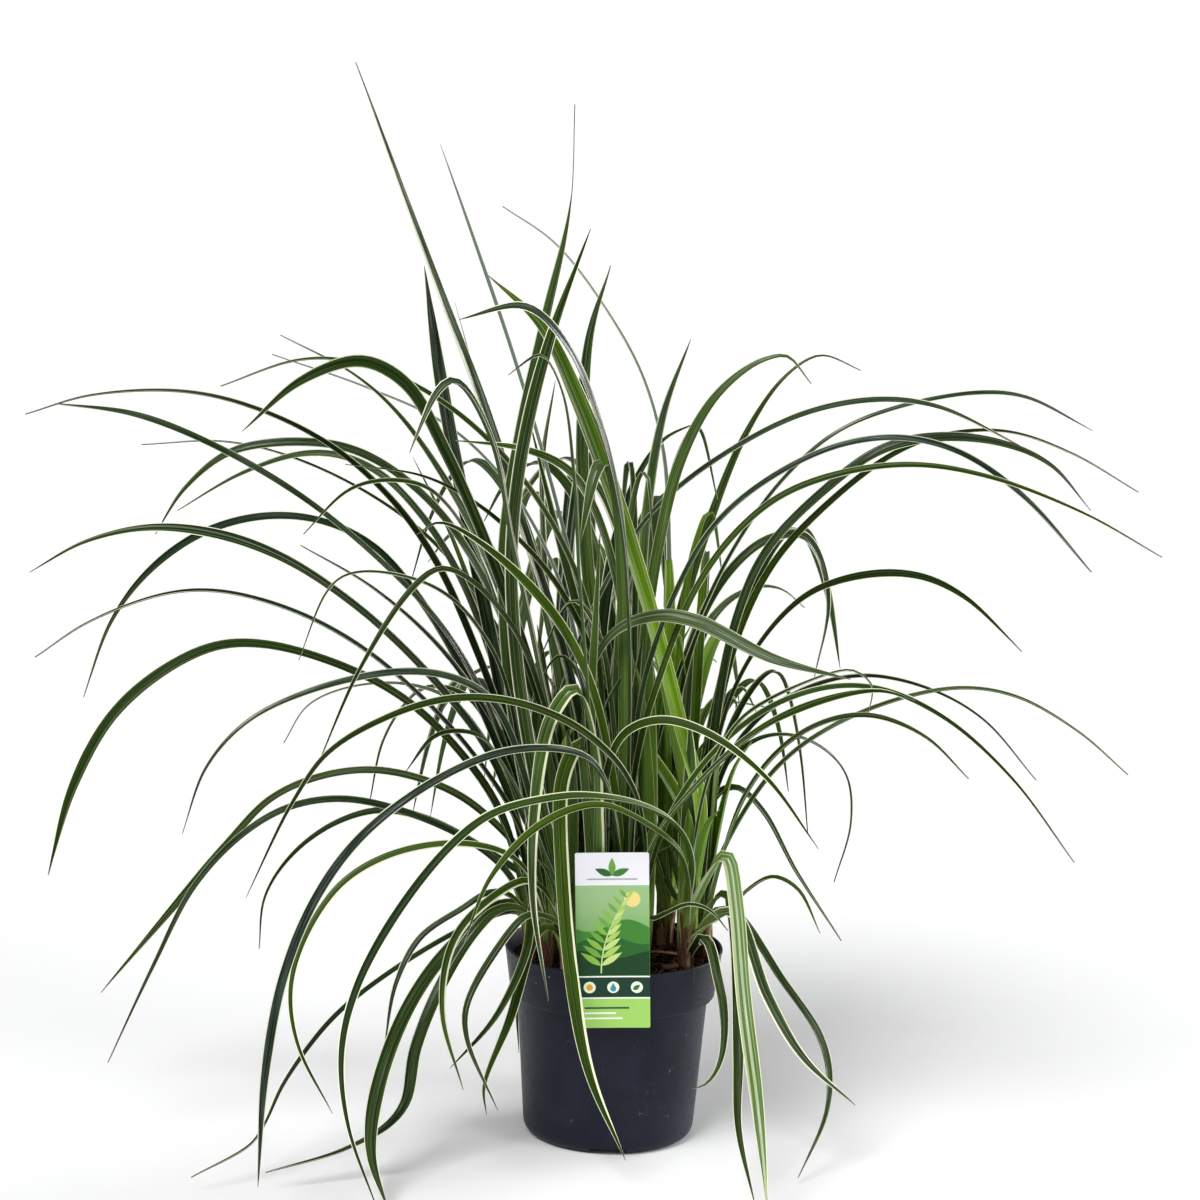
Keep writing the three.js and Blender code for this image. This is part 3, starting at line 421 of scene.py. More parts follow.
def swept_blade_tree():
    """Sweeps a thin keeled section along every line of a mesh of edges.

    A line's corners hold their half width, the fold of the two halves in radians, the direction
    that the blade faces and how round the section is.
    """
    graph, given = new_group(
        "Swept blades", "GeometryNodeTree",
        [
            ("Lines", "NodeSocketGeometry"),
            ("Section Points", "NodeSocketInt", 16),
            ("Thickness", "NodeSocketFloat", 0.4 * MM),
            ("Keel", "NodeSocketFloat", 0.5 * MM),
            ("Finish", "NodeSocketMaterial"),
        ],
        [("Blades", "NodeSocketGeometry")],
    )

    place = graph.wire(graph.add("GeometryNodeInputPosition"))
    lines = graph.wire(graph.add("GeometryNodeMeshToCurve", given["Lines"]))
    spine = captured(graph, lines, "Spine", place)
    circle = graph.wire(graph.add("GeometryNodeCurvePrimitiveCircle", given["Section Points"]))
    section = captured(graph, circle, "Section", place)
    named = {"Profile Curve": graph.wire(section), "Fill Caps": True}
    swept = graph.add("GeometryNodeCurveToMesh", graph.wire(spine), named=named)

    share, side, _ = graph.split(graph.wire(section, "Section"))
    moved = graph.wire(spine, "Spine")
    for direction, reach in zip(("across", "face"), section_reach(graph, given, share, side)):
        step = graph.scaled(stored(graph, direction, "FLOAT_VECTOR"), reach)
        moved = graph.vector("ADD", moved, step)
    shaped = graph.wire(graph.add("GeometryNodeSetPosition", graph.wire(swept), None, moved))
    for name, value in (("across_share", share), ("side_share", side)):
        shaped = graph.wire(graph.add(
            "GeometryNodeStoreNamedAttribute", shaped, None, name, value,
            data_type="FLOAT", domain="POINT",
        ))
    shaped = graph.wire(graph.add("GeometryNodeSetShadeSmooth", shaped))
    finished = graph.wire(graph.add("GeometryNodeSetMaterial", shaped, None, given["Finish"]))
    finished = graph.wire(graph.add("GeometryNodeRealizeInstances", finished))
    graph.add("NodeGroupOutput", finished)
    return graph.tree


def line_object(name, lines):
    """A mesh of edges that carries what the swept tree reads, from dicts. A value left out is none."""
    points = np.concatenate([line["points"] for line in lines])
    starts = np.cumsum([0, *(len(line["points"]) for line in lines)])
    edges = [(i, i + 1) for low, high in zip(starts, starts[1:]) for i in range(low, high - 1)]
    mesh = bpy.data.meshes.new(name)
    mesh.from_pydata(points.tolist(), edges, [])
    for key in LINE_VALUES:
        values = [np.broadcast_to(line.get(key, 0.0), len(line["points"])) for line in lines]
        values = np.concatenate(values).astype(np.float32)
        mesh.attributes.new(key, "FLOAT", "POINT").data.foreach_set("value", values)
    for key in ("across", "face"):
        values = np.concatenate([line[key] for line in lines]).astype(np.float32)
        mesh.attributes.new(key, "FLOAT_VECTOR", "POINT").data.foreach_set("vector", values.ravel())
    return placed(name, mesh)


def ink(code):
    """A colour given as on screen, in six hexadecimal digits, as Blender's linear values."""
    shown = [int(code[i:i + 2], 16) / 255 for i in (0, 2, 4)]
    linear = [c / 12.92 if c <= 0.04045 else ((c + 0.055) / 1.055) ** 2.4 for c in shown]
    return (*linear, 1.0)


def unit(vectors):
    return vectors / np.maximum(np.linalg.norm(vectors, axis=-1, keepdims=True), 1e-12)


def between(pair, share):
    return pair[0] + (pair[1] - pair[0]) * share


def running(points):
    """The distance run along a line at each of its corners."""
    return np.concatenate([[0], np.cumsum(np.linalg.norm(np.diff(points, axis=0), axis=1))])


def compass(turn):
    """The level direction at an angle from +X."""
    return np.array([math.cos(turn), math.sin(turn), 0])


def smooth(value, low, high):
    share = np.clip((value - low) / (high - low), 0, 1)
    return share * share * (3 - 2 * share)


def smooth_line(points, step):
    """A centripetal spline through points, cut into even steps, with each corner's place among them."""
    padded = np.concatenate([[2 * points[0] - points[1]], points, [2 * points[-1] - points[-2]]])
    knots = np.concatenate([[0], np.cumsum(np.linalg.norm(np.diff(padded, axis=0), axis=1) ** 0.5)])
    corners, places = [], []
    for i in range(len(points) - 1):
        p, t = padded[i:i + 4], knots[i:i + 4]
        count = max(2, int(np.linalg.norm(p[2] - p[1]) / (step * 0.25)))
        share = np.arange(count) / count
        at = (t[1] + (t[2] - t[1]) * share)[:, None]
        a = [((t[k + 1] - at) * p[k] + (at - t[k]) * p[k + 1]) / (t[k + 1] - t[k]) for k in range(3)]
        b = [((t[k + 2] - at) * a[k] + (at - t[k]) * a[k + 1]) / (t[k + 2] - t[k]) for k in range(2)]
        corners.append(((t[2] - at) * b[0] + (at - t[1]) * b[1]) / (t[2] - t[1]))
        places.append(i + share)
    corners = np.concatenate([*corners, points[-1:]])
    places = np.concatenate([*places, [len(points) - 1.0]])
    run = running(corners)
    even = np.linspace(0, run[-1], max(6, int(run[-1] / step)) + 1)
    resampled = np.stack([np.interp(even, run, corners[:, axis]) for axis in range(3)], 1)
    return resampled, np.interp(even, run, places), even


def frames(points, faces, places, levelled=0.0):
    """The directions ahead, across and out of the upper face at each corner of a line.

    Where a line runs level, its upper face can be drawn towards the sky, by a value for each corner.
    """
    ahead = unit(np.gradient(points, axis=0))
    face = np.stack([np.interp(places, np.arange(len(faces)), faces[:, axis]) for axis in range(3)], 1)
    face = unit(face - ahead * np.sum(face * ahead, axis=1, keepdims=True))
    face = unit(face + levelled * (UP - ahead * ahead[:, 2:]))
    return np.cross(ahead, face), face


# ---- Reading the blades back from the CAD stems -------------------------------------------

def merged(node):
    """A CAD node's corners, with doubled ones merged, and its triangles."""
    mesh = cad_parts[node].data
    corners = np.empty(len(mesh.vertices) * 3, np.float32)
    mesh.vertices.foreach_get("co", corners)
    corners = corners.reshape(-1, 3).astype(float)
    loops = np.empty(len(mesh.loops), int)
    mesh.loops.foreach_get("vertex_index", loops)
    keys = np.round(corners / (2e-3 * MM)).astype(int)
    _, first, place = np.unique(keys, axis=0, return_index=True, return_inverse=True)
    return corners[first], place.ravel()[loops].reshape(-1, 3)


def next_ring(ring, before, near, touching):
    """The three corners that follow a three-cornered ring of a blade, or None at its foot."""
    below = set().union(*(near[v] for v in ring)) - set(ring) - before
    if len(below) != 3:
        return None
    partner = {}
    for v in ring:
        for face in touching[v]:
            if sum(w in below for w in face) == 2:
                partner[v] = face[face.index(v) - 1]
    if len(partner) != 3 or len(set(partner.values())) != 3:
        return None
    return [partner[v] for v in ring]


def read_blades(node):
    """The free part of each blade of a stem, as rings from the foot to the tip, and the tip."""
    corners, faces = merged(node)
    near = [set() for _ in corners]
    touching = [[] for _ in corners]
    for face in faces.tolist():
        for k in range(3):
            near[face[k]].update((face[k - 1], face[k - 2]))
            touching[face[k]].append(face)
    blades = []
    for tip in range(len(corners)):
        follow = {face[face.index(tip) - 2]: face[face.index(tip) - 1] for face in touching[tip]}
        start = next(iter(near[tip]))
        ring = [start, follow[start], follow[follow[start]]]
        if len(near[tip]) != 3 or np.linalg.norm(corners[tip] - corners[start]) < BLADE["shortest_end"]:
            continue
        rings, before = [], {tip}
        while ring:
            rings.append(ring)
            ring, before = next_ring(ring, before, near, touching), set(ring)
        rings = corners[np.array(rings[::-1])]
        if ring_frames(rings)[2].max() < BLADE["widest"]:
            blades.append((rings, corners[tip]))
    return blades


def ring_frames(rings):
    """Each ring's middle, its face direction and its half width."""
    widest = rings[np.argmax(np.linalg.norm(rings - np.roll(rings, 1, axis=1), axis=2).max(axis=1))]
    keel = int(np.argmax([np.linalg.norm(widest[k - 1] - widest[k - 2]) for k in range(3)]))
    left, right = rings[:, (keel + 1) % 3], rings[:, (keel + 2) % 3]
    middle = (left + right) / 2
    return middle, unit(middle - rings[:, keel]), np.linalg.norm(right - left, axis=1) / 2


# ---- The lines of a stem's blades ---------------------------------------------------------

def stem_foot(stem):
    """The middle of a stem where it leaves the soil."""
    low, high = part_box(f"sheath_{stem}")
    return np.array([(low.x + high.x) / 2, (low.y + high.y) / 2, low.z + SHEATH["buried"]])


def blade_half(run, full, taper_length, thread):
    """Half width along a blade, from its distances from the root. Its end can be a thread."""
    to_tip = np.clip((run[-1] - run - thread) / min(taper_length, BLADE["most_taper"] * run[-1]), 0, 1)
    taper = 1 - (1 - to_tip) ** BLADE["taper_power"]
    base = BLADE["base_share"] + (1 - BLADE["base_share"]) * smooth(run / run[-1], 0, BLADE["full_from"])
    return BLADE["tip_half"] + (full - BLADE["tip_half"]) * base * taper


def blade_line(spine, faces, full, upright, kind, rng):
    """The line of a blade with a full half width, which follows a spine and faces as given."""
    look = {**OLD_LEAF, **KINDS[kind]}
    points, places, run = smooth_line(spine, BLADE["step"])
    along = run / run[-1]
    twisted = upright < 0.5 and rng.random() < BLADE["twisted"]
    turned = 1 - twisted * smooth(along, *BLADE["twist"])
    levelled = rng.uniform(*BLADE["levelled"]) * (1 - upright) * turned
    across, face = frames(points, faces, places, levelled[:, None])
    ripple = np.sin(run / (rng.uniform(*BLADE["wave_length"]) * MM) + rng.uniform(0, 6))
    points = points + face * (BLADE["wave"] * smooth(along, 0.15, 0.5) * ripple)[:, None]
    taper = rng.uniform(*BLADE["short_taper" if upright > 0.5 or twisted else "long_taper"])
    full = full * look["width"] * between(BLADE["fuller"], upright)
    half = blade_half(run, full, taper * look["taper"], look["thread"])
    points[:, 2] = np.maximum(points[:, 2], BLADE["floor_clearance"] + 0.35 * half)
    opened = smooth(along, 0.0, BLADE["opened_from"])
    fold = BLADE["base_fold"] * (1 - opened) + BLADE["fold"] * rng.uniform(*BLADE["fold_spread"]) * opened
    return {
        **{key: look[key] for key in ("cream_side", "stripes", "silver")},
        "points": points, "across": across, "face": face, "half_width": half, "fold": fold,
        "from_root": run, "to_tip": run[-1] - run, "blade_seed": rng.random(),
        "youth": rng.uniform(*look["youth"]),
    }


def cad_blade_line(foot, rings, tip, kind, rng):
    """A blade that follows its CAD rings, with the part that is fused in CAD led to the stem."""
    middle, faces, half = ring_frames(rings)
    out = tip - foot
    out = unit(out * [1, 1, 0]) if np.linalg.norm(out[:2]) > 5 * MM else np.array([1.0, 0, 0])
    base = foot + out * STEM["radius"] * 0.8
    rise = np.clip(middle[0, 2] - foot[2], *BLADE["foot_rise"])
    lower = [base - UP * 3 * MM, base + UP * rise * 0.28]
    spine = np.concatenate([lower, middle, [tip]])
    faces = np.concatenate([[-out, -out], faces, faces[-1:]])
    reach = np.linalg.norm((tip - foot)[:2])
    upright = (1 - smooth(reach, *BLADE["upright_reach"])) * smooth(tip[2], *BLADE["upright_height"])
    return blade_line(spine, faces, half.max(), upright, kind, rng)


def leaf_kind(stem, number, rng):
    """The kind of a stem's leaf: a named one, or a usual one with a few that have a wide cream side."""
    usual = "dark" if stem.startswith("left") else "old"
    usual = "cream_sided" if rng.random() < BLADE["cream_sided"] else usual
    return LEAVES.get(stem, {}).get(number, usual)


def young_blade_line(foot, rng):
    """A short upright blade from the heart of a stem."""
    out = compass(rng.uniform(0, 2 * math.pi))
    height, reach = rng.uniform(*YOUNG["height"]), rng.uniform(*YOUNG["reach"])
    shape = [(0.0, 0.0), (0.02, 0.25), (0.25, 0.6), (0.6, 0.88), (1.0, 1.0)]
    base = foot + out * STEM["radius"] * 0.5
    spine = np.array([base + out * reach * share + UP * height * rise for share, rise in shape])
    faces = np.repeat([-out], len(spine), axis=0)
    fresh_share = between(FRESH["share"], smooth(foot[0], *FRESH["from_left"]))
    kind = "fresh" if rng.random() < fresh_share else "old"
    return blade_line(spine, faces, rng.uniform(*YOUNG["half"]), 1.0, kind, rng)


def hanging_line(rng):
    """The leaf that hangs over the rim. Its foot is hidden, so it has none of a foot's colours."""
    spine = np.array(HANGING["spine"]) * MM
    faces = np.repeat([HANGING["face"]], len(spine), axis=0)
    line = blade_line(spine, unit(faces), HANGING["half"], 0.0, "old", rng)
    line["from_root"] = line["from_root"] + HANGING["hidden"]
    return line


def stem_line(foot, rng):
    """The round stem in the middle of its blades, coloured like their lower part."""
    rise = np.linspace(-4 * MM, STEM["height"], STEM["points"])
    half = between((STEM["radius"], STEM["top_radius"]), smooth(rise, 0, STEM["height"]))
    return {
        "points": foot + rise[:, None] * UP, "across": np.repeat([[1.0, 0, 0]], STEM["points"], 0),
        "face": np.repeat([[0, -1.0, 0]], STEM["points"], 0), "half_width": half, "roundness": 1.0,
        "from_root": rise * 0.6, "to_tip": 0.3, "blade_seed": rng.random(), "youth": 0.6,
    }


def sheath_line(foot, rng):
    """A torn papery leaf base that wraps a stem."""
    out = compass(rng.uniform(0, 2 * math.pi))
    height, flare, gap = (rng.uniform(*SHEATH[key]) * MM for key in ("height", "flare", "gap"))
    base = foot + out * (STEM["radius"] + gap)
    shape = [(0.0, -0.25), (0.05, 0.2), (0.3, 0.65), (1.0, 1.0)]
    spine = np.array([base + out * flare * share + UP * height * rise for share, rise in shape])
    points, places, run = smooth_line(spine, SHEATH["step"])
    across, face = frames(points, np.repeat([-out], len(spine), axis=0), places)
    along = run / run[-1]
    torn = 1 + SHEATH["torn"] * rng.standard_normal(len(run)) * smooth(along, 0.3, 0.8)
    narrowed = 1 - SHEATH["narrowed"] * smooth(along, 0.55, 1.0)
    half = rng.uniform(*SHEATH["half"]) * MM * narrowed * np.clip(torn, 0.5, 1.4)
    return {
        "points": points, "across": across, "face": face, "half_width": half,
        "fold": 0.9 - 0.45 * along, "from_root": run, "to_tip": run[-1] - run, "blade_seed": rng.random(),
    }


def make_stems(tree, leaf, papery):
    rng = np.random.default_rng(SEED)
    for node in sorted(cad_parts):
        if not node.startswith("tiller_"):
            continue
        stem = node.removeprefix("tiller_")
        foot = stem_foot(stem)
        lines = [
            cad_blade_line(foot, rings, tip, leaf_kind(stem, number, rng), rng)
            for number, (rings, tip) in enumerate(read_blades(node))
        ]
        lines += [young_blade_line(foot, rng) for _ in range(YOUNG["count"])]
        lines.append(stem_line(foot, rng))
        if stem == HANGING["stem"]:
            lines.append(hanging_line(rng))
        blades = run_nodes(
            line_object(f"sedge_{stem}", lines), tree, section_points=BLADE["section_points"],
            thickness=BLADE["thickness"], keel=BLADE["keel"], finish=leaf,
        )
        settle(blades, "sedge_leaf", node)
        sheaths = run_nodes(
            line_object(f"papery_{stem}", [sheath_line(foot, rng) for _ in range(SHEATH["count"])]), tree,
            section_points=SHEATH["section_points"], thickness=SHEATH["thickness"], keel=0.0,
            finish=papery,
        )
        settle(sheaths, "dry_sheath", f"sheath_{stem}")


# ---- Finishes -----------------------------------------------------------------------------

def new_material(name):
    material = bpy.data.materials.new(name)
    material.use_nodes = True
    return material, Graph(material.node_tree)


def dress(graph, **values):
    """Feeds the shader of a material, with its sockets' names written with underscores."""
    shader = graph.tree.nodes["Principled BSDF"]
    for name, value in values.items():
        graph.feed(shader.inputs[name.replace("_", " ")], value)


def attribute(graph, name, output="Fac"):
    return graph.wire(graph.add("ShaderNodeAttribute", attribute_name=name), output)


def in_mm(graph, name):
    """A length that a blade's corners hold, in millimetres."""
    return attribute(graph, name) * 1000


def object_place(graph):
    return graph.wire(graph.add("ShaderNodeTexCoord"), "Object")


def bumped(graph, height, strength, distance=1 * MM):
    named = {"Strength": strength, "Distance": distance, "Height": height}
    return graph.wire(graph.add("ShaderNodeBump", named=named))


# The colours of the blades, in hexadecimal digits as on screen.
DARK_GREEN = "0b1603"
MID_GREEN = "294808"
BLUE_GREEN = "122326"
BRIGHT_GREEN = "77a612"
LIGHT_GREEN = "96b24c"
BASE_GREEN = "98af56"
FOOT_BROWN = "5d3d38"
UNDER_GREEN = "597640"
STRIPE_GREEN = "7fa860"
VEIN_GREEN = "0c1606"
# A grey painted onto the leaves as a painted sheen: the look of light reflected off their waxy faces.
PAINTED_SHEEN_GREY = "87958c"
CREAM = "f2f3d3"
YOUNG_CREAM = "cfd994"
TIP_BROWN = "8f5a26"


def cream_margin(graph, width, share, half):
    """Where a blade is cream: along its margins, and wider on one side of some blades."""
    edge = (1 - abs(share)) * half
    cream_side = attribute(graph, "cream_side")
    wide_side = abs(cream_side) * graph.ease(share * cream_side, -0.05, 0.0, 1.0, 0.0)
    widened = width * (1 + 2.6 * wide_side)
    margin = graph.math("MINIMUM", widened, half * 0.45) * graph.ease(half, 0.6, 3.2, 0.25, 1.0)
    return graph.ease(edge - margin, -0.05, 0.06, 1.0, 0.0)


def ends_colored(graph, color, root, tip, streaks, third):
    """Adds the pale and brown foot of a blade, and the brown tip that some blades have."""
    color = graph.blend(graph.ease(root, 12.0, 75.0, 1.0, 0.0) * 0.85, color, ink(BASE_GREEN))
    color = graph.blend(graph.ease(root + streaks * 20, 16.0, 46.0, 1.0, 0.0) * 0.9, color, ink(FOOT_BROWN))
    browned = graph.ease(tip, 0.0, 12.0, 1.0, 0.0) * graph.ease(third, 0.76, 0.86)
    return graph.blend(browned * 0.8, color, ink(TIP_BROWN))


def blade_marking_group():
    """Cream margins, ribs, a painted grey sheen and the change of green along a blade, from the blade's own
    values.
    """
    graph, given = new_group(
        "Blade markings", "ShaderNodeTree",
        [
            ("Margin Width", "NodeSocketFloat", 0.68),
            ("Rib Spacing", "NodeSocketFloat", 1.3),
            ("Base Length", "NodeSocketFloat", 190.0),
        ],
        [
            ("Color", "NodeSocketColor"), ("Height", "NodeSocketFloat"),
            ("Rough", "NodeSocketFloat"), ("Shine", "NodeSocketFloat"),
        ],
    )
    share, side = attribute(graph, "across_share"), attribute(graph, "side_share")
    half, root, tip = (in_mm(graph, name) for name in ("half_width", "from_root", "to_tip"))
    # How much painted grey sheen a leaf carries, as a painted reflection.
    seed, silver = attribute(graph, "blade_seed"), attribute(graph, "silver")
    youth = attribute(graph, "youth") * graph.ease(root, 270.0, 440.0, 1.0, 0.25)
    second, third, fourth = (graph.math("FRACT", seed * stride) for stride in (7.31, 13.7, 29.3))
    place = share * half
    streaks = graph.noise(graph.join(place * 1.6, root * 0.02, seed * 90), 1.0, 3.0, 0.6)
    bands = graph.noise(graph.join(place * 0.42, root * 0.0025, seed * 140), 1.0, 1.0)
    bands = graph.ease(bands, 0.36, 0.64)
    stripes = attribute(graph, "stripes")
    lines = graph.noise(graph.join(place * (1.1 - 0.78 * stripes), root * 0.0015, seed * 210), 1.0, 0.0)
    drift = graph.noise(graph.join(root * 0.02, seed * 50, 0.0), 1.0, 2.0)
    lower = graph.ease(side, -0.12, 0.02, 1.0, 0.0)

    margin = given["Margin Width"] * (0.55 + 0.7 * third + 0.8 * (drift - 0.5))
    cream = cream_margin(graph, margin, share, half)
    midline = graph.ease(abs(place), 0.05, 0.3, 1.0, 0.0)
    ribs = graph.math("SINE", place * (2 * math.pi) / given["Rib Spacing"]) * 0.5 + 0.5

    green = graph.blend(second * 0.5 + bands * 0.4, ink(DARK_GREEN), ink(MID_GREEN))
    green = graph.blend(graph.ease(third, 0.72, 0.8) * 0.75, green, ink(BLUE_GREEN))
    green = graph.blend(youth * (0.75 + 0.25 * bands), green, ink(BRIGHT_GREEN))
    near_base = graph.ease(root, 30.0, given["Base Length"] * (0.6 + 0.8 * third), 1.0, 0.0)
    green = graph.blend(near_base * (0.14 + 0.8 * youth), green, ink(BRIGHT_GREEN))
    green = graph.blend(bands * (0.05 + 0.2 * youth), green, ink(LIGHT_GREEN))
    green = graph.blend(lower * 0.45, green, ink(UNDER_GREEN))
    pale = graph.blend(youth, ink(CREAM), ink(YOUNG_CREAM))
    striped = graph.ease(lines, 0.60, 0.68) * graph.ease(second, 0.3, 0.9)
    green = graph.blend(stripes * 0.45, green, ink(STRIPE_GREEN))
    green = graph.blend(striped * (0.15 + 0.3 * youth) * (1 - stripes), green, pale)
    green = graph.blend(graph.ease(lines, 0.57, 0.64) * stripes * 0.62, green, pale)
    veins = (ribs * 0.2 + midline * 0.35) * (1 - 0.55 * youth) * (1 - 0.7 * stripes)
    green = graph.blend(veins, green, ink(VEIN_GREEN))
    shade = graph.blend(graph.ease(streaks, 0.3, 0.7), ink("a8a8a8"), ink("ffffff"))
    green = graph.blend(0.7 - 0.4 * youth, green, shade, "MULTIPLY")
    glossy = 0.05 + 0.85 * graph.ease(graph.math("FRACT", seed * 41.9), 0.55, 0.8)
    shine = graph.ease(streaks, 0.44, 0.62) * glossy * (1 - 0.7 * lower)
    # Painted sheen: the gloss streaks and the sheen-painted leaves are drawn towards a grey, a painted
    # reflection of the light; the same streaks also drive the real coat.
    green = graph.blend(shine * 0.16 + silver * 0.55, green, ink(PAINTED_SHEEN_GREY))
    color = graph.blend(cream * (0.6 + 0.38 * graph.ease(fourth, 0.2, 0.7) - 0.12 * lower), green, pale)
    color = ends_colored(graph, color, root, tip, streaks, third)
    height = ribs * 0.3 + streaks * 0.35 - midline
    graph.add("NodeGroupOutput", color, height, 0.42 + 0.16 * lower, shine)
    return graph.tree


def leaf_material(markings):
    material, graph = new_material("waxy_sedge_leaf")
    group = graph.add("ShaderNodeGroup", node_tree=markings)
    dress(
        graph, Base_Color=graph.wire(group, "Color"), Roughness=graph.wire(group, "Rough"),
        Coat_Weight=graph.wire(group, "Shine"), Coat_Roughness=0.24, Specular_IOR_Level=0.07,
        Normal=bumped(graph, graph.wire(group, "Height"), 0.35, 0.12 * MM),
    )
    return material


def papery_material():
    material, graph = new_material("papery_sheath")
    place = attribute(graph, "across_share") * attribute(graph, "half_width") * 1000
    root, seed = in_mm(graph, "from_root"), attribute(graph, "blade_seed")
    fibres = graph.noise(graph.join(place * 2.4, root * 0.09, seed * 60), 1.0, 4.0, 0.7)
    color = graph.blend(graph.ease(fibres, 0.3, 0.7), ink("3d1f1b"), ink("7f4a3c"))
    color = graph.blend(graph.ease(seed + fibres * 0.5, 0.9, 1.25), color, ink("b08a62"))
    dress(graph, Base_Color=color, Roughness=0.75, Normal=bumped(graph, fibres, 0.6, 0.3 * MM))
    return material


# ---- Camera, light and floor ----------------------------------------------------------------

def turned(*turns):
    """The matrix of turns in degrees about axes, the last one first."""
    whole = Matrix.Identity(4)
    for degrees, axis in turns:
        whole = whole @ Matrix.Rotation(math.radians(degrees), 4, axis)
    return whole


def make_stage():
    camera = placed("camera", bpy.data.cameras.new("camera"))
    camera.data.lens, camera.data.sensor_width = CAMERA["lens"], CAMERA["sensor"]
    camera.data.clip_end = 2 * STAGE["floor"]
    camera.location = CAMERA["place"]
    camera.rotation_euler = turned((90 - CAMERA["down"], "X"), (CAMERA["roll"], "Z")).to_euler()
    bpy.context.scene.camera = camera

    material, graph = new_material("pale_floor")
    grain = graph.noise(object_place(graph), 9.0, 4.0)
    dress(graph, Base_Color=graph.blend(grain * 0.2, ink("f2f2f2"), ink("ececec")), Roughness=0.9)
    size = STAGE["floor"]
    corners = [(-size, -size, 0), (size, -size, 0), (size, size, 0), (-size, size, 0)]
    floor = mesh_object("floor", corners, [(0, 1, 2, 3)])
    floor.data.materials.append(material)

    world = bpy.context.scene.world = bpy.data.worlds.new("studio")
    world.use_nodes = True
    sky = world.node_tree.nodes["Background"]
    sky.inputs["Color"].default_value = (*STAGE["sky"], 1.0)
    sky.inputs["Strength"].default_value = STAGE["sky_strength"]
    for name, place, angle, strength in STAGE["suns"]:
        light = placed(name, bpy.data.lights.new(name, "SUN"))
        light.data.angle, light.data.energy = math.radians(angle), strength
        light.location = place
        light.rotation_euler = Vector(place).to_track_quat("Z", "Y").to_euler()
    bpy.context.scene.view_settings.view_transform = "Standard"


# ---- Pot ------------------------------------------------------------------------------------

def rounded(corners, steps=5):
    """A profile of (radius, height) pairs. A corner with a third value is rounded by that much."""
    profile = []
    for i, (*place, fillet) in enumerate((*c, 0) if len(c) == 2 else c for c in corners):
        here = np.array(place)
        if not fillet:
            profile.append(here)
            continue
        before, after = np.array(corners[i - 1][:2]), np.array(corners[i + 1][:2])
        start, end = here + unit(before - here) * fillet, here + unit(after - here) * fillet
        for share in np.linspace(0, 1, steps):
            near, far = start + (here - start) * share, here + (end - here) * share
            profile.append(near + (far - near) * share)
    return np.array(profile)


def lathe(name, profile, sides, height=lambda x, y, z: z):
    """Turns a profile, which starts and ends on the axis, into a closed solid.

    Each corner's height can be changed by its place.
    """
    turns = [i * 2 * math.pi / sides for i in range(sides)]
    rings = [(r * math.cos(a), r * math.sin(a), z) for r, z in profile[1:-1] for a in turns]
    points = [(0, 0, profile[0][1]), *rings, (0, 0, profile[-1][1])]
    points = [(x, y, height(x, y, z)) for x, y, z in points]
    last = len(points) - 1
    faces = []
    for side in range(sides):
        beside = (side + 1) % sides
        faces.append((0, 1 + beside, 1 + side))
        faces.append((last, last - sides + side, last - sides + beside))
        for low in range(1, last - sides, sides):
            high = low + sides
            faces.append((low + side, low + beside, high + beside, high + side))
    return mesh_object(name, points, faces)


def pot_outside(z):
    """The pot's outer radius at a height."""
    if z > POT["band_foot"]:
        return np.interp(z, [POT["band_foot"], POT_TOP], [POT["band_foot_radius"], RIM_RADIUS])
    return np.interp(z, [0, POT["band_foot"]], [POT["body_foot_radius"], POT["body_top_radius"]])


def notch_cutters():
    """Three rounded blocks that cut the drain notches through the pot's foot ring."""
    half, top, corner = NOTCH["width"] / 2, NOTCH["height"], NOTCH["corner"]
    turns = np.radians(np.linspace(0, 90, 7))
    right = [(half - corner + corner * math.cos(a), top - corner + corner * math.sin(a)) for a in turns]
    outline = [(-half, -top), (half, -top), *right, *((-x, z) for x, z in reversed(right))]
    points, faces = [], []
    for direction in NOTCH["directions"]:
        faces += slab(len(points), len(outline))
        for out in (POT["body_foot_radius"] + NOTCH["overrun"], POT["ring_radius"] - NOTCH["overrun"]):
            points += [turned((direction + 90, "Z")) @ Vector((x, -out, z)) for x, z in outline]
    return mesh_object("notch_cutters", points, faces)


def make_pot(material):
    wall, lip, floor = POT["wall"], POT["band_foot"], POT["floor"]
    top, rim = POT_TOP, RIM_RADIUS
    body = rounded([
        (0, 0), (POT["pad_radius"], 0, 1 * MM), (POT["pad_radius"], floor, 1 * MM),
        (POT["ring_radius"], floor, 1 * MM), (POT["ring_radius"], 0, 0.8 * MM),
        (POT["body_foot_radius"] - 0.5 * MM, 0, POT["edge_radius"]),
        (POT["body_top_radius"], lip, 2.2 * MM), (POT["band_foot_radius"], lip + 0.4 * MM, 1.8 * MM),
        (rim - 0.1 * MM, top - 2 * MM, 0.6 * MM), (rim + 0.35 * MM, top - 1.4 * MM, 0.4 * MM),
        (rim + 0.1 * MM, top, 0.9 * MM), (rim - wall, top, 0.7 * MM),
        (POT["band_foot_radius"] - wall, lip + wall + 1.2 * MM, 1.5 * MM),
        (POT["body_top_radius"] - wall, lip - 1.2 * MM, 1.5 * MM),
        (POT["body_foot_radius"] - wall, floor + wall, 6 * MM), (0, floor + wall),
    ], steps=7)
    pot = lathe("nursery_pot", body, POT["sides"])
    cutters = notch_cutters()
    cut = pot.modifiers.new("drain_notches", "BOOLEAN")
    cut.operation, cut.solver, cut.object = "DIFFERENCE", "EXACT", cutters
    bake(pot)
    bpy.data.objects.remove(cutters)
    pot.data.shade_smooth()
    pot.data.set_sharp_from_angle(angle=math.radians(38))
    pot.data.materials.append(material)
    settle(pot, "pot_plastic", "pot")


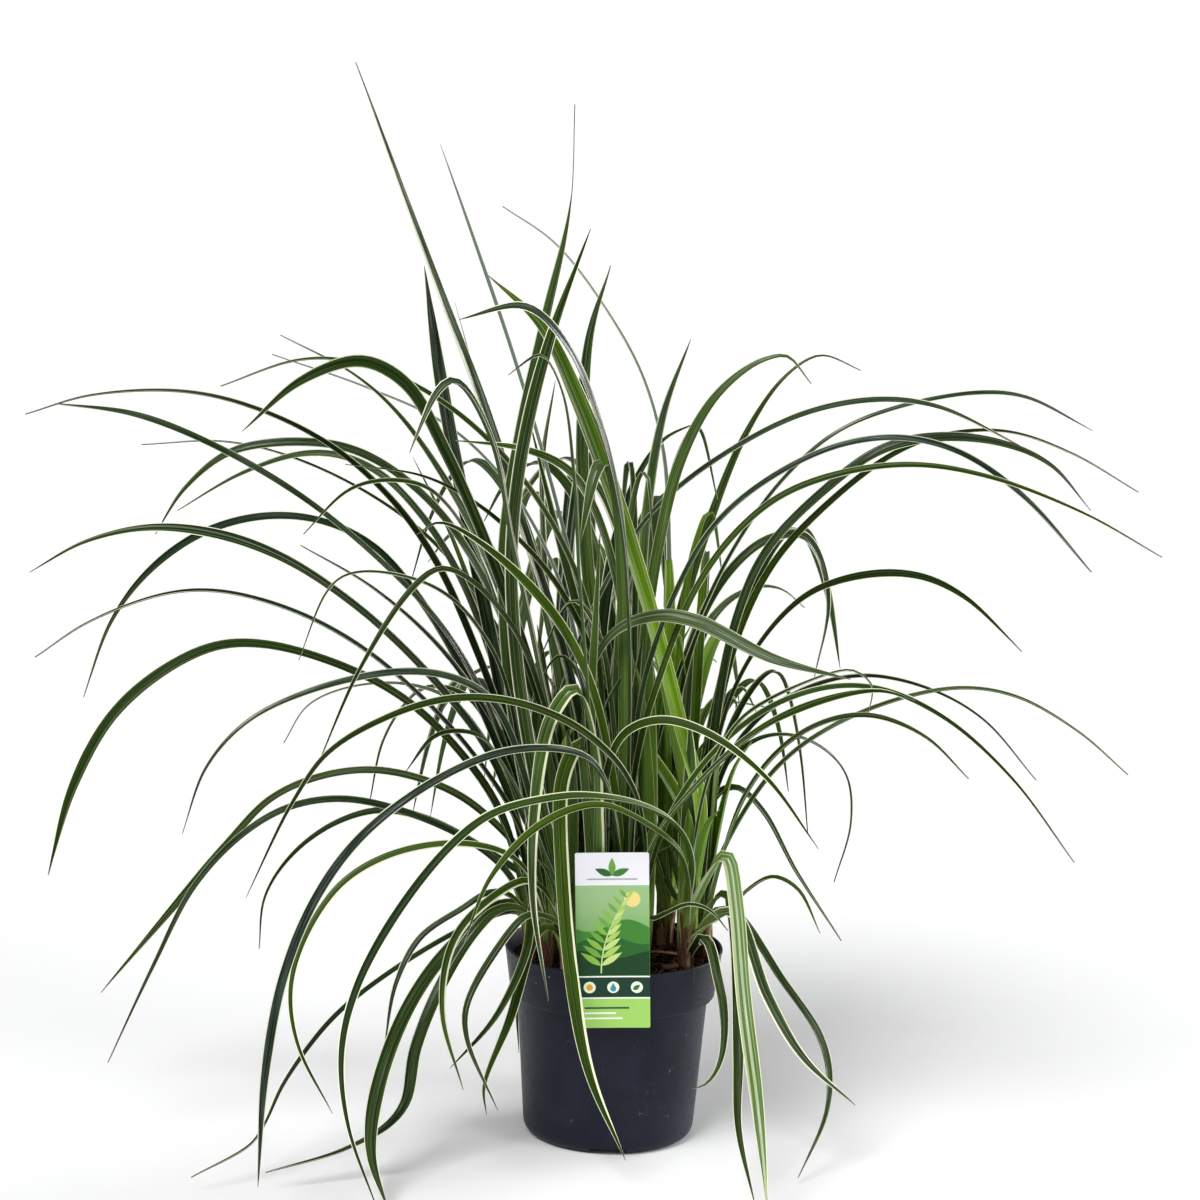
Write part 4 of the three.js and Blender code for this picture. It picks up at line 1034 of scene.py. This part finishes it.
def pot_material():
    material, graph = new_material("scuffed_pot_plastic")
    place = object_place(graph)
    x, y, z = graph.split(place)
    cloud = graph.noise(place, 22.0, 4.0, 0.6)
    streak = graph.noise(graph.join(x * 1.0, y * 1.0, z * 0.05), 420.0, 3.0, 0.6)
    grain = graph.noise(place, 2600.0, 2.0)
    dust = graph.noise(place, 150.0, 6.0, 0.75)
    cells = graph.add("ShaderNodeTexVoronoi", graph.join(x, y, z * 2.2), named={"Scale": 85.0})
    flecks = graph.ease(graph.wire(cells, "Distance"), 0.035, 0.075, 1.0, 0.0)
    chosen = graph.ease(graph.split(graph.wire(cells, "Color"))[0], 0.80, 0.82)
    color = graph.blend(graph.ease(cloud, 0.35, 0.7), ink("101322"), ink("181c2b"))
    turn = graph.math("ARCTAN2", x, y * -1)
    around = graph.join(turn * 3.0 + z * 22.0, z * 34.0 - turn * 1.2, 0.0)
    wander = graph.noise(around, 1.4, 1.0)
    worn = graph.ease(graph.noise(graph.join(turn * 2.2, z * 30.0, 4.0), 1.6, 1.0), 0.56, 0.66)
    scratches = graph.ease(abs(wander - 0.5), 0.0, 0.0035, 1.0, 0.0) * worn
    smudges = graph.ease(graph.noise(graph.join(turn * 5.0, z * 45.0, 9.0), 1.0, 4.0, 0.7), 0.6, 0.68)
    color = graph.blend(smudges * 0.35, color, ink("11131b"))
    color = graph.blend(graph.ease(dust, 0.55, 0.8) * 0.18, color, ink("474b5a"))
    color = graph.blend(flecks * chosen * 0.75, color, ink("b9bcc4"))
    color = graph.blend(scratches * 0.28, color, ink("7b8090"))
    rough = 0.38 + 0.10 * cloud + 0.20 * graph.ease(dust, 0.45, 0.75)
    height = grain * 0.25 + streak * 0.5 + dust * 0.25
    dress(
        graph, Base_Color=color, Roughness=rough, Specular_IOR_Level=0.2,
        Normal=bumped(graph, height, 0.22, 0.1 * MM),
    )
    return material


# ---- Soil -----------------------------------------------------------------------------------

def soil_radius(z):
    return pot_outside(z) - POT["wall"] - SOIL["gap"]


def soil_height(x, y):
    """The height of the soil: a low mound, higher at the right-hand clump, with lumps."""
    out = math.hypot(x, y) / soil_radius(SOIL["wall_height"])
    sunk = float(smooth(out, SOIL["flat_share"], 1))
    mound = between((SOIL["middle_height"], SOIL["wall_height"]), sunk)
    near = ((x - CLUMP["x"]) ** 2 + (y - CLUMP["y"]) ** 2) / CLUMP["spread"] ** 2
    lumps = noise.fractal(Vector((x, y, 0)) / SOIL["lump"], 0.6, 2.0, 4) * SOIL["lumps"]
    return mound + CLUMP["height"] * math.exp(-near) + lumps * (1 - 0.6 * out ** 4)


def make_soil(material, fibre_tree, fibre_material):
    inside = POT["floor"] + POT["wall"] + 0.6 * MM
    step = POT["band_foot"] + 5 * MM
    edge, rings = soil_radius(SOIL["wall_height"]), SOIL["rings"]
    profile = [
        (0, inside),
        (POT["body_foot_radius"] - POT["wall"] - 6 * MM, inside),
        (soil_radius(inside + 8 * MM) - 1 * MM, inside + 8 * MM),
        (soil_radius(POT["band_foot"] - 3 * MM), POT["band_foot"] - 3 * MM),
        (soil_radius(step), step),
        *((edge * (1 - ring / rings), None) for ring in range(rings + 1)),
    ]

    def height(x, y, z):
        return soil_height(x, y) if z is None else z

    soil = lathe("peaty_soil", profile, SOIL["sides"], height)
    soil.data.materials.append(material)
    crumbs = run_nodes(soil_copy(soil), crumb_tree(), finish=material)
    settle(soil, "potting_soil", "potting_soil")
    settle(crumbs, "potting_soil")
    rng = np.random.default_rng(SEED + 1)
    fibres = [*(fibre_line(rng) for _ in range(FIBRE["count"])), rim_root_line(rng)]
    roots = run_nodes(
        line_object("root_fibres", fibres), fibre_tree, section_points=FIBRE["section_points"],
        thickness=FIBRE["thickness"], keel=0.0, finish=fibre_material,
    )
    settle(roots, "potting_soil")


def soil_copy(soil):
    """The upper face of the soil, for crumbs to lie on."""
    top = [p for p in soil.data.polygons if p.normal.z > 0.3]
    index = {v: i for i, v in enumerate(sorted({v for p in top for v in p.vertices}))}
    points = [soil.data.vertices[v].co for v in index]
    return mesh_object("soil_crumbs", points, [[index[v] for v in p.vertices] for p in top])


def crumb_tree():
    """Scatters lumps of peat over a surface, turned and sized at random."""
    graph, given = new_group(
        "Peat crumbs", "GeometryNodeTree",
        [
            ("Surface", "NodeSocketGeometry"),
            ("Crumbs Per Area", "NodeSocketFloat", 95000.0),
            ("Smallest", "NodeSocketFloat", 0.5 * MM),
            ("Largest", "NodeSocketFloat", 2.7 * MM),
            ("Seed", "NodeSocketInt", 4),
            ("Finish", "NodeSocketMaterial"),
        ],
        [("Crumbs", "NodeSocketGeometry")],
    )
    named = {"Density": given["Crumbs Per Area"], "Seed": given["Seed"]}
    points = graph.wire(graph.add("GeometryNodeDistributePointsOnFaces", given["Surface"], named=named))
    lump = graph.wire(graph.add("GeometryNodeMeshIcoSphere", 1.0, 1))
    place = graph.wire(graph.add("GeometryNodeInputPosition"))
    bent = graph.scaled(place, graph.noise(place, 1.1, 2.0) * 1.6)
    lump = graph.wire(graph.add("GeometryNodeSetPosition", lump, None, bent))
    lump = graph.wire(graph.add("GeometryNodeSetShadeSmooth", lump))

    def draw(low, high, shift):
        """A random number or vector for each crumb."""
        kind, first, output = ("FLOAT_VECTOR", 0, 0) if isinstance(low, tuple) else ("FLOAT", 2, 1)
        named = {first: low, first + 1: high, "Seed": given["Seed"] + shift}
        return graph.wire(graph.add("FunctionNodeRandomValue", named=named, data_type=kind), output)

    turn = draw((0, 0, 0), (6.28, 6.28, 6.28), 1)
    size = given["Smallest"] + (given["Largest"] - given["Smallest"]) * draw(0.0, 1.0, 2) ** 2.6
    shape = graph.scaled(draw((0.6, 0.6, 0.5), (1.3, 1.0, 0.8), 3), size)
    named = {"Instance": lump, "Rotation": turn, "Scale": shape}
    scattered = graph.wire(graph.add("GeometryNodeInstanceOnPoints", points, named=named))
    real = graph.wire(graph.add("GeometryNodeRealizeInstances", scattered))
    finished = graph.wire(graph.add("GeometryNodeSetMaterial", real, None, given["Finish"]))
    graph.add("NodeGroupOutput", finished)
    return graph.tree


def thin_line(points, half, seed):
    """A round fibre along points."""
    ahead = unit(np.gradient(points, axis=0))
    across = unit(np.cross(ahead, [0.1, 0.2, 1.0]))
    run = running(points)
    return {
        "points": points, "across": across, "face": np.cross(across, ahead), "half_width": half,
        "roundness": 1.0, "from_root": run, "to_tip": run[-1] - run, "blade_seed": seed,
    }


def fibre_line(rng):
    """A curly root fibre that lies on the soil."""
    count, edge = FIBRE["points"], soil_radius(SOIL["wall_height"]) - FIBRE["rim_gap"]
    length = rng.uniform(*FIBRE["length"]) * MM
    out = (edge - FIBRE["rim_gap"]) * math.sqrt(rng.random())
    at, turn = rng.uniform(0, 2 * math.pi), rng.uniform(0, 2 * math.pi)
    place, bend = compass(at)[:2] * out, rng.normal(0, FIBRE["bend"])
    points = []
    for i in range(count):
        place = place * min(1, edge / np.hypot(*place))
        lift = (0.2 + 2.6 * math.sin(math.pi * i / (count - 1)) * rng.uniform(0.6, 1.0)) * MM
        points.append((*place, soil_height(*place) + lift))
        turn += bend + rng.normal(0, FIBRE["wander"])
        place = place + compass(turn)[:2] * length / count
    half = rng.uniform(*FIBRE["half"]) * MM * np.sin(np.linspace(0.35, math.pi - 0.2, count))
    return thin_line(np.array(points), half, rng.random())


def rim_root_line(rng):
    """A root fibre that hangs over the rim at the right of the front."""
    out = compass(math.radians(RIM_ROOT["direction"]))
    spine = [out * (RIM_RADIUS + r * MM) + UP * (POT_TOP + z * MM) for r, z in RIM_ROOT["shape"]]
    points, _, run = smooth_line(np.array(spine), RIM_ROOT["step"])
    return thin_line(points, RIM_ROOT["half"] * (1.1 - run / run[-1]), rng.random())


def soil_material():
    material, graph = new_material("fibrous_peat")
    place = object_place(graph)
    clods = graph.noise(place, 260.0, 5.0, 0.65)
    spots = graph.wire(graph.add("ShaderNodeTexVoronoi", place, named={"Scale": 420.0}), "Color")
    color = graph.blend(graph.ease(clods, 0.35, 0.65), ink("060302"), ink("180e09"))
    color = graph.blend(graph.ease(graph.split(spots)[0], 0.72, 0.95) * 0.55, color, ink("452b1b"))
    dress(
        graph, Base_Color=color, Roughness=0.93, Specular_IOR_Level=0.15,
        Normal=bumped(graph, clods, 0.8, 1.2 * MM),
    )
    return material


def fibre_material():
    material, graph = new_material("root_fibre")
    seed = attribute(graph, "blade_seed")
    along = graph.noise(graph.join(attribute(graph, "from_root") * 300, seed * 40, 0.0), 1.0, 3.0)
    color = graph.blend(graph.ease(seed, 0.1, 0.9), ink("23110b"), ink("5f3823"))
    color = graph.blend(graph.ease(along, 0.4, 0.7) * 0.5, color, ink("835840"))
    dress(graph, Base_Color=color, Roughness=0.8)
    return material


# ---- Label ----------------------------------------------------------------------------------

def card_place():
    """The matrix that stands the card, drawn flat about its middle, against the pot's rim."""
    back = -RIM_RADIUS - LABEL["rim_clearance"]
    middle = LABEL["foot"] + LABEL["height"] / 2
    set_back = (middle - POT_TOP) * math.tan(math.radians(LABEL["lean"]))
    spot = Matrix.Translation((LABEL["x"], back - set_back, middle))
    return spot @ turned((90 + LABEL["lean"], "X"), (LABEL["tilt"], "Z"))


def card_point(place, x, y, depth):
    """A point of the card, given from its middle. The card bows forward a little at its edges."""
    half, tall = LABEL["width"] / 2, LABEL["height"] / 2
    bow = LABEL["bow"] * ((x / half) ** 2 * 0.35 + (max(y, 0) / tall) ** 2 * 0.65)
    return place @ Vector((x, y, depth + bow))


def card_rows():
    """How high each row of the card's corners lies and half its width, with rounded corners."""
    corner, half, tall = LABEL["corner"], LABEL["width"] / 2, LABEL["height"] / 2
    ends = corner * (1 - np.cos(np.radians(np.linspace(0, 90, 6))))
    between_ends = np.linspace(-tall + corner, tall - corner, LABEL["rows"])[1:-1]
    rows = np.concatenate([-tall + ends, between_ends, tall - ends[::-1]])
    inset = np.maximum(corner - (tall - np.abs(rows)), 0)
    return rows, half - corner + np.sqrt(corner ** 2 - inset ** 2)


def make_card(place, material):
    rows, widths = card_rows()
    points, flat = [], []
    for depth in (LABEL["thickness"], 0.0):
        for y, width in zip(rows, widths):
            for share in np.linspace(-1, 1, LABEL["columns"]):
                points.append(card_point(place, share * width, y, depth))
                flat.append((share * width / LABEL["width"] + 0.5, y / LABEL["height"] + 0.5, depth > 0))
    count = len(points) // 2
    grid = np.arange(count).reshape(len(rows), -1)
    faces = []
    for low, high in zip(grid, grid[1:]):
        for a, b, c, d in zip(low, low[1:], high[1:], high):
            faces += [(a, b, c, d), (count + d, count + c, count + b, count + a)]
    rim = np.concatenate([grid[0], grid[1:, -1], grid[-1, -2::-1], grid[-2:0:-1, 0]])
    card = mesh_object("plant_label_card", points, faces + band(rim, count + rim))
    card.data.set_sharp_from_angle(angle=math.radians(40))
    mark_card(card, flat, material)
    return card


def mark_card(obj, places, material):
    """Gives each corner its place on the card: across, up and whether it is on the front."""
    sheet = obj.data.attributes.new("card_place", "FLOAT_VECTOR", "POINT")
    sheet.data.foreach_set("vector", np.array(places, np.float32).ravel())
    obj.data.materials.append(material)


def make_label(card_material, print_material):
    place = card_place()
    settle(make_card(place, card_material), "label_card", "plant_label")
    settle(make_tongue(card_material), "label_card")
    settle(make_print(place, print_material), "label_card")


def make_tongue(material):
    """The strip that bends over the rim from the card and hooks down behind it."""
    front = -RIM_RADIUS - LABEL["rim_clearance"]
    behind = -(RIM_RADIUS - POT["wall"] - TONGUE["wall_gap"])
    soil = soil_height(0, -soil_radius(SOIL["wall_height"]))
    middle = np.array([
        (front + 0.3 * MM, POT_TOP - 5 * MM), (front + 0.3 * MM, POT_TOP - 1 * MM),
        (front + 0.8 * MM, POT_TOP + 0.9 * MM), (front + 1.6 * MM, POT_TOP + 1.2 * MM),
        (behind - 1.2 * MM, POT_TOP + 1.2 * MM), (behind - 0.2 * MM, POT_TOP + 0.7 * MM),
        (behind, POT_TOP - 0.8 * MM), (behind, soil + 1.2 * MM),
    ])
    ahead = unit(np.gradient(middle, axis=0))
    out = np.stack([-ahead[:, 1], ahead[:, 0]], 1) * LABEL["thickness"] / 2
    wide = TONGUE["width"] / 2
    points = []
    for below, above in zip(middle - out, middle + out):
        points += [(-wide, *below), (wide, *below), (wide, *above), (-wide, *above)]
    faces = [(0, 1, 2, 3), tuple(range(len(points) - 1, len(points) - 5, -1))]
    for i in range(0, len(points) - 4, 4):
        faces += band(range(i, i + 4), range(i + 4, i + 8))
    tongue = mesh_object("label_tongue", points, faces, smooth=False)
    mark_card(tongue, [(0.5, 0.99, 0.0)] * len(points), material)
    return tongue


def oval_leaf(x, y, length, width, degrees):
    """The outline of a pointed oval leaf, from its stalk at x, y."""
    turn = math.radians(degrees)
    shares = np.linspace(0, 1, 9)
    bulge = np.sin(np.pi * shares ** 0.85) * width / 2
    side = [(length * s, b) for s, b in zip(shares, bulge)]
    outline = side + [(a, -b) for a, b in side[-2:0:-1]]
    c, s = math.cos(turn), math.sin(turn)
    return [(x + a * c - b * s, y + a * s + b * c) for a, b in outline]


def disc(x, y, radius, low=0.0, high=360.0, count=24):
    turns = np.radians(np.linspace(low, high, count, endpoint=high - low < 360))
    return [(x + radius * math.cos(a), y + radius * math.sin(a)) for a in turns]


def bar(x, y, wide, tall):
    return [(x, y), (x + wide, y), (x + wide, y + tall), (x, y + tall)]


def print_hills():
    """Three rows of hills that fill the foot of the printed view, and a sun above them."""
    half, foot = LABEL["width"] / 2 / MM - 0.2, PRINT["view_foot"]
    across = np.linspace(-half, half, 15)
    for level, rise, phase, color in (
        (12, 5.0, 0.4, "3f8230"), (1, 4.0, 2.2, "286227"), (-11, 3.0, 4.4, "153f1f"),
    ):
        crest = [(x, level + rise * math.sin(x * 0.11 + phase)) for x in across]
        yield color, [(-half, foot), (half, foot), *reversed(crest)]
    yield "ecd98a", disc(15, 33, 6.2)


def print_sprig():
    """A bent stalk with pairs of leaves that grow smaller towards its end."""
    stalk = [(-9 + 0.20 * i ** 2, -26 + 6 * i) for i in range(11)]
    yield "c9dd96", [*((x - 0.5, y) for x, y in stalk), *((x + 0.5, y) for x, y in reversed(stalk))]
    for i, (x, y) in enumerate(stalk[1:]):
        size = 19 - 1.1 * i
        yield ("c3da84", "a9cc62")[i % 2], oval_leaf(x, y, size, size * 0.26, 34 + 2 * i)
        yield ("86b845", "6fa63a")[i % 2], oval_leaf(x, y, size, size * 0.26, 146 - 2 * i)


def print_badges():
    """Three discs with a sun, a drop and a leaf, and the plain lines below them."""
    level = PRINT["badges"]
    for x in (-18, 0, 18):
        yield "e9f4da", disc(x, level, 4.6)
    yield "e0a92c", disc(-18, level, 2.5)
    yield "3f8fb0", [(0, level + 3.6), *disc(0, level - 1.1, 2.3, 150, 390, 14)]
    yield "35703a", oval_leaf(15.2, level - 2.1, 6.6, 3.6, 38)
    for y, reach, color in zip(PRINT["lines"], (34, 24, 29), ("24533a", "f4f7ee", "f4f7ee")):
        yield color, bar(-22, y, reach, 1.3)


def print_emblem():
    """Three leaves over a line, at the head of the card."""
    for turn, color in ((22, "3f7f35"), (158, "2c6436"), (90, "69a545")):
        yield color, oval_leaf(0, PRINT["emblem"], 14, 5.4, turn)
    yield "9aa79a", bar(-19, PRINT["emblem_line"], 38, 0.9)


def make_print(place, material):
    """Lays each motif on the card as a film, every later one a hair above the one before."""
    points, faces, colors = [], [], []
    motifs = [*print_hills(), *print_sprig(), *print_badges(), *print_emblem()]
    for order, (color, outline) in enumerate(motifs):
        faces += slab(len(points), len(outline))
        for lift in (PRINT["film"] + PRINT["film_step"] * order, -PRINT["film_depth"]):
            points += [(x * MM, y * MM, LABEL["thickness"] + lift * MM) for x, y in outline]
        colors += [ink(color)] * (2 * len(outline))
    film = mesh_object("label_print", points, faces, smooth=False)
    paint = film.data.attributes.new("ink", "FLOAT_COLOR", "POINT")
    paint.data.foreach_set("color", np.array(colors, np.float32).ravel())
    bend_print(film.data, place)
    film.data.materials.append(material)
    return film


def bend_print(mesh, place):
    """Cuts the flat film into small cells, so that it follows the bow of the card."""
    cell = LABEL["cell"]
    shape = bmesh.new()
    shape.from_mesh(mesh)
    bmesh.ops.triangulate(shape, faces=shape.faces[:])
    for normal, reach in (((1, 0, 0), LABEL["width"]), ((0, 1, 0), LABEL["height"])):
        for level in np.arange(-reach / 2 + cell, reach / 2, cell):
            every = [*shape.verts, *shape.edges, *shape.faces]
            bmesh.ops.bisect_plane(shape, geom=every, plane_co=Vector(normal) * level, plane_no=normal)
    bmesh.ops.triangulate(shape, faces=shape.faces[:])
    for vertex in shape.verts:
        vertex.co = card_point(place, *vertex.co)
    bmesh.ops.recalc_face_normals(shape, faces=shape.faces[:])
    shape.to_mesh(mesh)
    shape.free()


def card_material():
    material, graph = new_material("printed_card")
    _, up, front = graph.split(attribute(graph, "card_place", "Vector"))
    sky = graph.blend(graph.ease(up, 0.3, 0.82), ink("5b9436"), ink("9cc088"))
    color = ink("9fcf66")
    for name, above in (
        ("foot", ink("f3f5ef")), ("foot_line", ink("17392b")), ("badges", ink("f3f5ef")),
        ("badge_line", sky), ("view", ink("f0eff6")),
    ):
        color = graph.blend(graph.ease(up, BANDS[name] - 0.0006, BANDS[name] + 0.0006), color, above)
    color = graph.blend(front, ink("e9ebe6"), color)
    dress(graph, Base_Color=color, Roughness=0.33, Specular_IOR_Level=0.2)
    return material


def print_material():
    material, graph = new_material("printed_ink")
    color = attribute(graph, "ink", "Color")
    dress(graph, Base_Color=color, Roughness=0.33, Specular_IOR_Level=0.2)
    return material


# ---- Litter on the soil -----------------------------------------------------------------------

def make_straw(tree, material):
    """A bent bit of tan straw that lies where the frame has it."""
    low, high = (np.array(corner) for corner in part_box("straw"))
    half = (high[0] - low[0]) / 2 - STRAW["end_gap"]
    middle = (low + high) / 2
    ahead = compass(math.radians(STRAW["direction"]))
    beside = np.cross(UP, ahead)
    shape = [(-1.0, -0.6, -0.2), (-0.2, 0.6, 0.5), (0.5, -0.1, 0.3), (1.0, 1.0, -0.5)]
    spine = np.array([middle + ahead * half * a + beside * b * MM + UP * c * MM for a, b, c in shape])
    points, _, run = smooth_line(spine, STRAW["step"])
    along = run / run[-1]
    knots = sum(np.exp(-((along - knot) / STRAW["knot_width"]) ** 2) for knot in STRAW["knots"])
    half_width = (STRAW["half"] + STRAW["knot"] * knots) * MM * (0.72 + 0.28 * np.sin(np.pi * along))
    straw = run_nodes(
        line_object("bent_straw", [thin_line(points, half_width, 0.5)]), tree,
        section_points=STRAW["section_points"], thickness=STRAW["thickness"], keel=0.0, finish=material,
    )
    settle(straw, "straw", "straw")


def straw_material():
    material, graph = new_material("dry_straw")
    across, along = attribute(graph, "across_share") * 9, attribute(graph, "from_root") * 60
    grain = graph.noise(graph.join(across, along, 0.0), 1.0)
    dress(graph, Base_Color=graph.blend(grain, ink("8a5f33"), ink("d9b17c")), Roughness=0.6)
    return material


def bark_material():
    material, graph = new_material("flaky_bark")
    place = object_place(graph)
    layers = graph.noise(graph.vector("MULTIPLY", place, (1.0, 1.0, 5.0)), 380.0, 5.0, 0.7)
    dress(
        graph, Base_Color=graph.blend(layers, ink("24130c"), ink("7d4c30")), Roughness=0.9,
        Normal=bumped(graph, layers, 0.8, 0.6 * MM),
    )
    return material


def make_bark_chips(material):
    """Flaky chips of bark, made from the forms of their CAD nodes."""
    for number in (1, 2, 3):
        node = f"bark_chip_{number}"
        chip = placed(f"flaky_{node}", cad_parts[node].data.copy())
        chip.data.materials.clear()
        remesh = chip.modifiers.new("even_skin", "REMESH")
        remesh.mode, remesh.voxel_size = "VOXEL", BARK["skin"]
        bake(chip)
        for vertex in chip.data.vertices:
            flakes = noise.fractal(vertex.co / BARK["lump"], 0.7, 2.0, 4)
            vertex.co += vertex.normal * flakes * BARK["roughness"]
        chip.data.shade_smooth()
        chip.data.materials.append(material)
        settle(chip, "bark", node)


make_stage()
sweep = swept_blade_tree()
make_stems(sweep, leaf_material(blade_marking_group()), papery_material())
make_pot(pot_material())
make_soil(soil_material(), sweep, fibre_material())
make_label(card_material(), print_material())
make_straw(sweep, straw_material())
make_bark_chips(bark_material())
